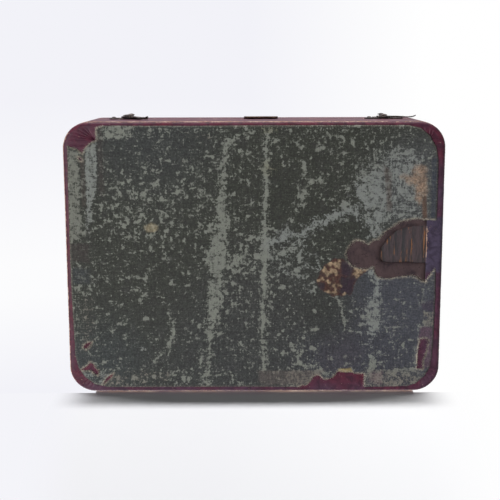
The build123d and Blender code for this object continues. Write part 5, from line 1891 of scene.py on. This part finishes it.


# Geometry node group that sets a nail on every point, each turned a little differently
def makeNailTree():
    inputs = [
        ("Geometry", "Geometry", None),
        ("Head Radius", "Float", 0.0004),
        ("Head Height", "Float", 0.0002),
        ("Head Sides", "Int", 12),
        ("Shank Side", "Float", 0.0006),
        ("Shank Length", "Float", 0.003),
        ("Point Away", "Vector", (0.0, 0.0, 0.0)),
        ("Twist", "Float", 0.1),
        ("Seed", "Int", 1),
        ("Finish", "Material", None),
    ]
    tree, given, done = startGroup("nailRow", inputs, [("Geometry", "Geometry")], "GeometryNodeTree")
    # the head is a low cone whose top is nearly as wide as its foot, standing on z = 0
    head = put(
        tree,
        "GeometryNodeMeshCone",
        {
            "Vertices": given["Head Sides"],
            "Side Segments": 3,
            "Radius Top": times(tree, given["Head Radius"], 0.62),
            "Radius Bottom": given["Head Radius"],
            "Depth": given["Head Height"],
        },
    ).outputs["Mesh"]
    side, length = given["Shank Side"], given["Shank Length"]
    shankSize = put(tree, "ShaderNodeCombineXYZ", {0: side, 1: side, 2: length}).outputs[0]
    shank = put(tree, "GeometryNodeMeshCube", {"Size": shankSize}).outputs["Mesh"]
    drop = put(tree, "ShaderNodeCombineXYZ", {2: times(tree, length, -0.5)}).outputs[0]
    shank = put(tree, "GeometryNodeTransform", {"Geometry": shank, "Translation": drop}).outputs[0]
    nail = tree.nodes.new("GeometryNodeJoinGeometry")
    tree.links.new(head, nail.inputs[0])
    tree.links.new(shank, nail.inputs[0])
    aim = put(tree, "FunctionNodeEulerToRotation", {0: given["Point Away"]}).outputs[0]
    most = given["Twist"]
    least = times(tree, most, -1.0)
    limits = {2: least, 3: most, "Seed": given["Seed"]}
    turn = put(tree, "FunctionNodeRandomValue", limits, data_type="FLOAT").outputs[1]
    spin = put(tree, "ShaderNodeCombineXYZ", {2: turn}).outputs[0]
    spin = put(tree, "FunctionNodeEulerToRotation", {0: spin}).outputs[0]
    spun = {"Rotation": aim, "Rotate By": spin}
    rotation = put(tree, "FunctionNodeRotateRotation", spun, rotation_space="LOCAL").outputs[0]
    placed = {"Points": given["Geometry"], "Instance": nail.outputs[0], "Rotation": rotation}
    spread = put(tree, "GeometryNodeInstanceOnPoints", placed).outputs[0]
    real = put(tree, "GeometryNodeRealizeInstances", {"Geometry": spread}).outputs[0]
    flat = put(tree, "GeometryNodeSetShadeSmooth", {"Geometry": real, "Shade Smooth": False}).outputs[0]
    finished = put(tree, "GeometryNodeSetMaterial", {"Geometry": flat, "Material": given["Finish"]}).outputs[0]
    tree.links.new(finished, done["Geometry"])
    return tree


nailTree = makeNailTree()


# Runs a geometry node group over an object, with inputs given by name, and makes the result a plain mesh
def growWith(tree, piece, given):
    modifier = piece.modifiers.new(tree.name, "NODES")
    modifier.node_group = tree
    for item in tree.interface.items_tree:
        if item.item_type == "SOCKET" and item.in_out == "INPUT" and item.name in given:
            modifier[item.identifier] = given[item.name]
    return bakeModifiers(piece)


def nailsAt(name, places, kind, away, material):
    made = nails[kind]
    return growWith(
        nailTree,
        makeMesh(name, places, []),
        {
            "Head Radius": made["head"][0] * mm,
            "Head Height": made["head"][1] * mm,
            "Head Sides": made["sides"],
            "Shank Side": made["shank"][0] * mm,
            "Shank Length": made["shank"][1] * mm,
            "Point Away": away,
            "Twist": made["twist"],
            "Seed": made["seed"],
            "Finish": material,
        },
    )


# Hinge nails stand head up in the base's leaves and head down in the lid's
nailY = (backY - case["wall"] + case["hingeY"] - hinge["barrel"] - hinge["leafClearance"]) / 2
for side, name, body, node, flip in (
    (-1, "hingeNailsLower", "base", "hinge_base_nails", 0.0),
    (1, "hingeNailsUpper", "lid", "hinge_lid_nails", math.pi),
):
    level = case["baseHeight"] + side * (hinge["leafGap"] + hinge["leafEasing"])
    places = [(x + k * hinge["nailPitch"], nailY, level) for x in case["hingeX"] for k in (-1, 0, 1)]
    settle(nailsAt(name, places, "hinge", (flip, 0.0, 0.0), pinBrass), body, pinBrass, "brass_pin", node)

# Catch nails: a domed head at the free ear, a flush one at the ear that the hook swings over
plateFace, reach = frontY - catch["plateThick"], catch["nailPitch"] / 2
free = [(x - reach, plateFace, case["pivotZ"]) for x in case["catchX"]]
covered = [(x + reach, plateFace + hinge["nailFit"], case["pivotZ"]) for x in case["catchX"]]
facing = (math.pi / 2, 0.0, 0.0)
domed = nailsAt("catchPlateNails", free, "catchHead", facing, darkBrass)
flush = nailsAt("catchPlateNailsFlush", covered, "catchFlush", facing, darkBrass)
settle(joinParts("catchPlateNails", [domed, flush]), "base", darkBrass, "brass_dark", "catch_plate_nails")
print("nails driven")


# Linings: velvet in the base and satin in the lid, as bands and as soft pads
lining = {
    "baseThick": 1.2,
    "lidThick": 1.0,
    "lipHeight": 2.6,
    "lipClearance": 0.35,
    "floorTop": 3.95,
    "lidLinerLow": 27.1,
    "lidBoardLow": 32.3,
    "floorPadHeight": 2.0,
    "lidPadHeight": 2.2,
    "padClearance": 0.2,
    "glueGap": 0.02,
    "corner": 1.5,
    "padSpacing": 1.25,
    "padPressure": 4.0,
    "padEase": 0.06,
    "frames": 20,
}
# What the cloth solver is given for the pads' covers
stuffing = {
    "quality": 6,
    "mass": 0.15,
    "tension_stiffness": 12.0,
    "compression_stiffness": 12.0,
    "bending_stiffness": 0.6,
    "use_pressure": True,
    "uniform_pressure_force": lining["padPressure"],
}


# A closed band that follows the case's outline, from section points (inset, level) given anticlockwise
def bandRound(section, count, wave):
    rows, total = [], len(section)
    for inset, level in section:
        outline, normals = roundedOutline(inset, count, lining["corner"])[:2]
        offset, rise = wave(outline, inset, level)
        outline = outline - normals * offset[:, None]
        rows.append(np.column_stack([outline, level + rise]))
    points = np.concatenate(rows)
    faces = []
    for row in range(total):
        a, b = row * count, ((row + 1) % total) * count
        for k in range(count):
            faces.append((a + k, b + k, b + (k + 1) % count, a + (k + 1) % count))
    return points, faces


# Velvet band: rounded lip at the top, thinned above the rim where the lid drops over it
def velvetSection():
    outer, lipOuter = case["wall"] + lining["glueGap"], case["wall"] + lining["lipClearance"]
    inner, top = case["wall"] + lining["baseThick"], case["baseHeight"] + lining["lipHeight"]
    middle, half = (lipOuter + inner) / 2, (inner - lipOuter) / 2
    low = lining["floorTop"] + lining["glueGap"]
    section = [(outer, low), (outer, baseRim - 0.1), (lipOuter, baseRim), (lipOuter, top - half)]
    section += arc(middle, top - half, -half, half, (25, 50, 75, 90, 105, 130, 155))
    return section + [(inner, z) for z in np.linspace(top - half, low, 22)]


def velvetWave(outline, inset, level):
    x, y = outline[:, 0], outline[:, 1]
    soft = 0.05 * fieldNoise(x + level, y - level, 6.0, 90.0) + 0.03 * fieldNoise(x, y + level * 2.0, 1.6, 91.0)
    inside = inset > case["wall"] + 0.9
    return -np.abs(soft) * inside, 0.03 * fieldNoise(x, y, 4.0, 92.0, 2) * (level > case["baseHeight"] + 2.0)


velvetBand = faceOutwards(makeMesh("velvetBand", *bandRound(velvetSection(), 520, velvetWave)))
settle(velvetBand, "base", maroonVelvet, "liner_velvet", "base_liner_band")


# Satin band of the lid, gathered into shallow upright pleats between its glued edges
def satinSection():
    outer, inner = case["wall"] + lining["glueGap"], case["wall"] + lining["lidThick"]
    low, high = lining["lidLinerLow"], lining["lidBoardLow"] - lining["glueGap"]
    section = [(outer, high), (outer, low + 0.3)]
    section += arc(inner - 0.45, low + 0.4, -0.45, -0.4, (20, 45, 70, 90, 110, 135, 160))
    return section + [(inner, z) for z in np.linspace(low + 0.4, high, 14)]


def satinWave(outline, inset, level):
    x, y = outline[:, 0], outline[:, 1]
    share = smooth(lining["lidLinerLow"] + 0.2, lining["lidLinerLow"] + 2.0, level) * (inset > case["wall"] + 0.8)
    run = np.where(np.abs(x) / 53.0 > np.abs(y) / 38.0, y, x)
    fold = np.sin(run * 2.1 + 2.0 * fieldNoise(x, y, 9.0, 94.0, 2)) * 0.5 + 0.5
    return -0.3 * fold * share, np.zeros(len(x))


satinBand = faceOutwards(makeMesh("satinBand", *bandRound(satinSection(), 900, satinWave)))
settle(satinBand, "lid", creamSatin, "lid_satin", "lid_liner_band")
print("lining bands glued in")


# A pad cover inflated by the cloth solver over its board: a flat bag whose back rim stays pinned
def buildPad(name, inset, backZ, height, side, seed):
    loop = roundedOutline(inset, 300, lining["corner"])[0]
    every, triangles = fillRegion([loop], lining["padSpacing"])
    count = len(loop)
    edge = strokeDistance(every, np.vstack([loop, loop[:1]]), 0.0, 8.0)
    start = height * (0.30 + 0.25 * smooth(0.0, 6.0, edge))
    face = np.column_stack([every, backZ + side * start])
    back = np.column_stack([every, np.full(len(every), backZ)])
    faces = [tuple(t) if side > 0 else tuple(t[::-1]) for t in triangles]
    faces += [tuple(t[::-1] + len(every)) if side > 0 else tuple(t + len(every)) for t in triangles]
    for k in range(count):
        a, b = k, (k + 1) % count
        wall = (b, a, a + len(every), b + len(every))
        faces.append(wall if side > 0 else wall[::-1])
    pad = makeMesh(name, np.concatenate([face, back]), faces)
    pinned = pad.vertex_groups.new(name="glued")
    pinned.add(list(range(len(every), 2 * len(every))) + list(range(count)), 1.0, "REPLACE")
    cloth = pad.modifiers.new("stuffing", "CLOTH")
    for setting, value in stuffing.items():
        setattr(cloth.settings, setting, value)
    cloth.settings.vertex_group_mass = "glued"
    cloth.settings.effector_weights.gravity = 0.0
    cloth.collision_settings.use_collision = False
    cloth.point_cache.frame_start = 1
    cloth.point_cache.frame_end = lining["frames"]
    for frameNumber in range(1, lining["frames"] + 1):
        scene.frame_set(frameNumber)
    bakeModifiers(pad)
    scene.frame_set(1)
    mesh = pad.data
    coords = np.empty(len(mesh.vertices) * 3)
    mesh.vertices.foreach_get("co", coords)
    coords = coords.reshape(-1, 3) / mm
    # the cover keeps inside its box: moves are capped, and the crown is eased to the height of the pad
    x, y, z = coords.T
    rise = side * (z - backZ)
    crown = np.clip(rise / max(rise.max(), 1e-6), 0, 1)
    fromEdge = strokeDistance(coords[:, :2], np.vstack([loop, loop[:1]]), 0.0, 8.0)
    pull = 0.08 * fieldNoise(x, y, 14.0, seed) + 0.04 * fieldNoise(x, y, 4.0, seed + 1.0)
    tuck = 0.06 * np.sin(np.arctan2(y, x) * 74.0) * smooth(3.0, 0.4, fromEdge)
    shaped = height * np.clip(0.30 + 0.62 * crown + (pull + tuck) * smooth(0.0, 1.5, fromEdge), 0, 1)
    shaped = np.where(rise > 0.05, shaped, rise)
    limit = loop.max(0)
    coords[:, 2] = backZ + side * np.clip(shaped, 0, height)
    coords[:, :2] = np.clip(coords[:, :2], -limit, limit)
    mesh.vertices.foreach_set("co", (coords * mm).ravel())
    mesh.update()
    finer = pad.modifiers.new("finer", "SUBSURF")
    finer.levels = 1
    return bakeModifiers(pad)


floorInset = case["wall"] + lining["baseThick"] + lining["padClearance"]
floorZ, floorHeight = lining["floorTop"] + lining["glueGap"], lining["floorPadHeight"] - lining["padEase"]
floorPad = buildPad("velvetFloorPad", floorInset, floorZ, floorHeight, 1, 95.0)
settle(floorPad, "base", maroonVelvet, "liner_velvet", "base_floor_pad")
lidInset = case["wall"] + lining["lidThick"] + lining["padClearance"]
lidZ, lidHeight = lining["lidBoardLow"] - lining["glueGap"], lining["lidPadHeight"] - lining["padEase"]
lidPad = buildPad("satinLidPad", lidInset, lidZ, lidHeight, -1, 97.0)
settle(lidPad, "lid", creamSatin, "lid_satin", "lid_pad")
print("pads stuffed")


# The pull tab: a strip of thin leather glued to the lid, which hangs just clear of the base
tab = {
    "middle": 2.3,
    "width": 11.0,
    "thickness": 0.45,
    "top": 30.55,
    "bottom": 19.25,
    "tipRadius": 3.0,
    "standOff": 0.32,
    "easing": 0.13,
    "bendFrom": 24.75,
    "bendTo": 23.25,
    "creaseInset": 0.9,
}


def buildTab():
    half, low, high, tip = tab["width"] / 2, tab["bottom"], tab["top"], tab["tipRadius"]
    loop = [(-half, high), (-half, low + tip)]
    loop += arc(-half + tip, low + tip, -tip, -tip, range(15, 90, 15))
    loop += [(-half + tip, low), (half - tip, low)]
    turns = [math.radians(a) for a in range(15, 90, 15)]
    loop += [(half - tip + tip * math.sin(t), low + tip - tip * math.cos(t)) for t in turns]
    loop += [(half, low + tip), (half, high)]
    loop = frayed(loop, 0.35, 0.0, 1.0, closed=True)
    # cut by hand, so its edges wander a little inwards
    wander = 0.05 * (1 + fieldNoise(loop[:, 0], loop[:, 1], 2.6, 91.0))
    loop = insetLoop(loop, wander[:, None])
    points, faces = slab([loop], tab["thickness"], tab["easing"], 0.4)
    u, v, w = points.T
    edge = strokeDistance(points[:, :2], np.vstack([loop, loop[:1]]))
    # a creased line runs round the front, near the edge, and handling has dented the hanging end
    share = w / tab["thickness"]
    crease = 0.05 * smooth(0.2, 0.0, np.abs(edge - tab["creaseInset"]))
    pebble = 0.018 * fieldNoise(u, v, 0.7, 92.0, 2) + 0.03 * fieldNoise(u, v, 2.6, 93.0) * smooth(25.0, 20.0, v)
    w = w - share * (crease + np.clip(pebble + 0.03, 0.0, 0.1))
    away = tab["standOff"] * np.clip((tab["bendFrom"] - v) / (tab["bendFrom"] - tab["bendTo"]), 0.0, 1.0)
    piece = makeMesh("pullTab", np.column_stack([tab["middle"] + u, frontY - away - w, v]), faces)
    rub = 0.12 + 0.3 * smooth(0.5, 0.0, edge) + 0.3 * smooth(21.5, 19.4, v)
    bent = 0.25 * smooth(0.7, 0.0, np.abs(v - (tab["bendFrom"] + tab["bendTo"]) / 2))
    addValues(piece, "worn", np.clip(rub + bent + 0.15 * fieldNoise(u, v, 1.4, 94.0), 0, 1))
    sharpen(piece, 50.0)
    return piece


settle(buildTab(), "lid", tabLeather, "tab_leather", "pull_tab")
print("pull tab hung")


# Fibres of torn paper that stand out round the tears and holes of the underside
fibres = {
    "spacing": 0.16,
    "length": 0.5,
    "thickness": 0.022,
    "splay": 0.7,
    "level": 0.12,
    "fray": 0.12,
    "seed": 5,
}


# Geometry node group that sets a tapering fibre on every point, along the point's own direction
def makeFibreTree():
    inputs = [
        ("Geometry", "Geometry", None),
        ("Length", "Float", 0.0005),
        ("Thickness", "Float", 0.00002),
        ("Splay", "Float", 0.6),
        ("Seed", "Int", 1),
        ("Finish", "Material", None),
    ]
    tree, given, done = startGroup("tornFibres", inputs, [("Geometry", "Geometry")], "GeometryNodeTree")
    strand = put(
        tree,
        "GeometryNodeMeshCone",
        {
            "Vertices": 5,
            "Side Segments": 2,
            "Radius Top": times(tree, given["Thickness"], 0.3),
            "Radius Bottom": given["Thickness"],
            "Depth": given["Length"],
        },
    ).outputs["Mesh"]
    heading = put(tree, "GeometryNodeInputNamedAttribute", {"Name": "away"}, data_type="FLOAT_VECTOR").outputs[0]
    aim = put(tree, "FunctionNodeAlignRotationToVector", {"Vector": heading}, axis="Z").outputs[0]
    most = put(tree, "ShaderNodeCombineXYZ", {0: given["Splay"], 1: given["Splay"], 2: 3.0}).outputs[0]
    least = put(tree, "ShaderNodeVectorMath", {0: most, 1: (-1.0, -1.0, -1.0)}, operation="MULTIPLY").outputs[0]
    limits = {0: least, 1: most, "Seed": given["Seed"]}
    lean = put(tree, "FunctionNodeRandomValue", limits, data_type="FLOAT_VECTOR").outputs[0]
    lean = put(tree, "FunctionNodeEulerToRotation", {0: lean}).outputs[0]
    spun = {"Rotation": aim, "Rotate By": lean}
    rotation = put(tree, "FunctionNodeRotateRotation", spun, rotation_space="LOCAL").outputs[0]
    nextSeed = plus(tree, given["Seed"], 7.0)
    size = put(tree, "FunctionNodeRandomValue", {2: 0.35, 3: 1.25, "Seed": nextSeed}, data_type="FLOAT").outputs[1]
    placed = {"Points": given["Geometry"], "Instance": strand, "Rotation": rotation, "Scale": size}
    spread = put(tree, "GeometryNodeInstanceOnPoints", placed).outputs[0]
    real = put(tree, "GeometryNodeRealizeInstances", {"Geometry": spread}).outputs[0]
    finished = put(tree, "GeometryNodeSetMaterial", {"Geometry": real, "Material": given["Finish"]}).outputs[0]
    tree.links.new(finished, done["Geometry"])
    return tree


# Roots along the torn lines, with the direction that points out of the paper
def fibreRoots():
    roots, headings = [], []
    lines = [paperShape[key] for key in ("frontLeftTear", "rightTear", "backTear")]
    tears = len(lines)
    lines += [hole + hole[:1] for hole in paperShape["holes"]]
    for number, line in enumerate(lines):
        line = frayed(line, fibres["spacing"], fibres["fray"], 70.0 + number)
        step = np.gradient(line, axis=0)
        step /= np.maximum(np.linalg.norm(step, axis=1), 1e-9)[:, None]
        side = np.column_stack([-step[:, 1], step[:, 0]])
        # the side that leads away from the sheet: every tear has the paper on its left, and a hole has it all round
        if number < tears:
            side = -side
        else:
            side *= np.sign(((line.mean(axis=0) - line) * side).sum(axis=1))[:, None]
        kept = fieldNoise(line[:, 0], line[:, 1], 1.6, 75.0) > -0.35
        roots.append(np.column_stack([line, np.full(len(line), fibres["level"])])[kept])
        headings.append(np.column_stack([side, np.full(len(side), 0.05)])[kept])
    return np.concatenate(roots), np.concatenate(headings)


rootPoints, rootHeadings = fibreRoots()
fibrePiece = makeMesh("tornPaperFibres", rootPoints, [])
heading = fibrePiece.data.attributes.new("away", "FLOAT_VECTOR", "POINT")
heading.data.foreach_set("vector", rootHeadings.astype(np.float32).ravel())
fibrePiece = growWith(
    makeFibreTree(),
    fibrePiece,
    {
        "Length": fibres["length"] * mm,
        "Thickness": fibres["thickness"] * mm,
        "Splay": fibres["splay"],
        "Seed": fibres["seed"],
        "Finish": tornPaper,
    },
)
# fibres lie flat where they would reach below the underside
for vertex in fibrePiece.data.vertices:
    vertex.co.z = max(vertex.co.z, 0.01 * mm + 0.05 * abs(vertex.co.z))
settle(fibrePiece, "base", tornPaper, "paper_grey")
print("torn fibres grown:", len(fibrePiece.data.polygons), "faces")

# Pieces that stay as the structure has them
for nodeName in ("base_wall_band", "lid_wall_band"):
    dress(nodeName, bandWood)
dress("base_floor_board", boardWood)
dress("lid_top_board", lidWood)
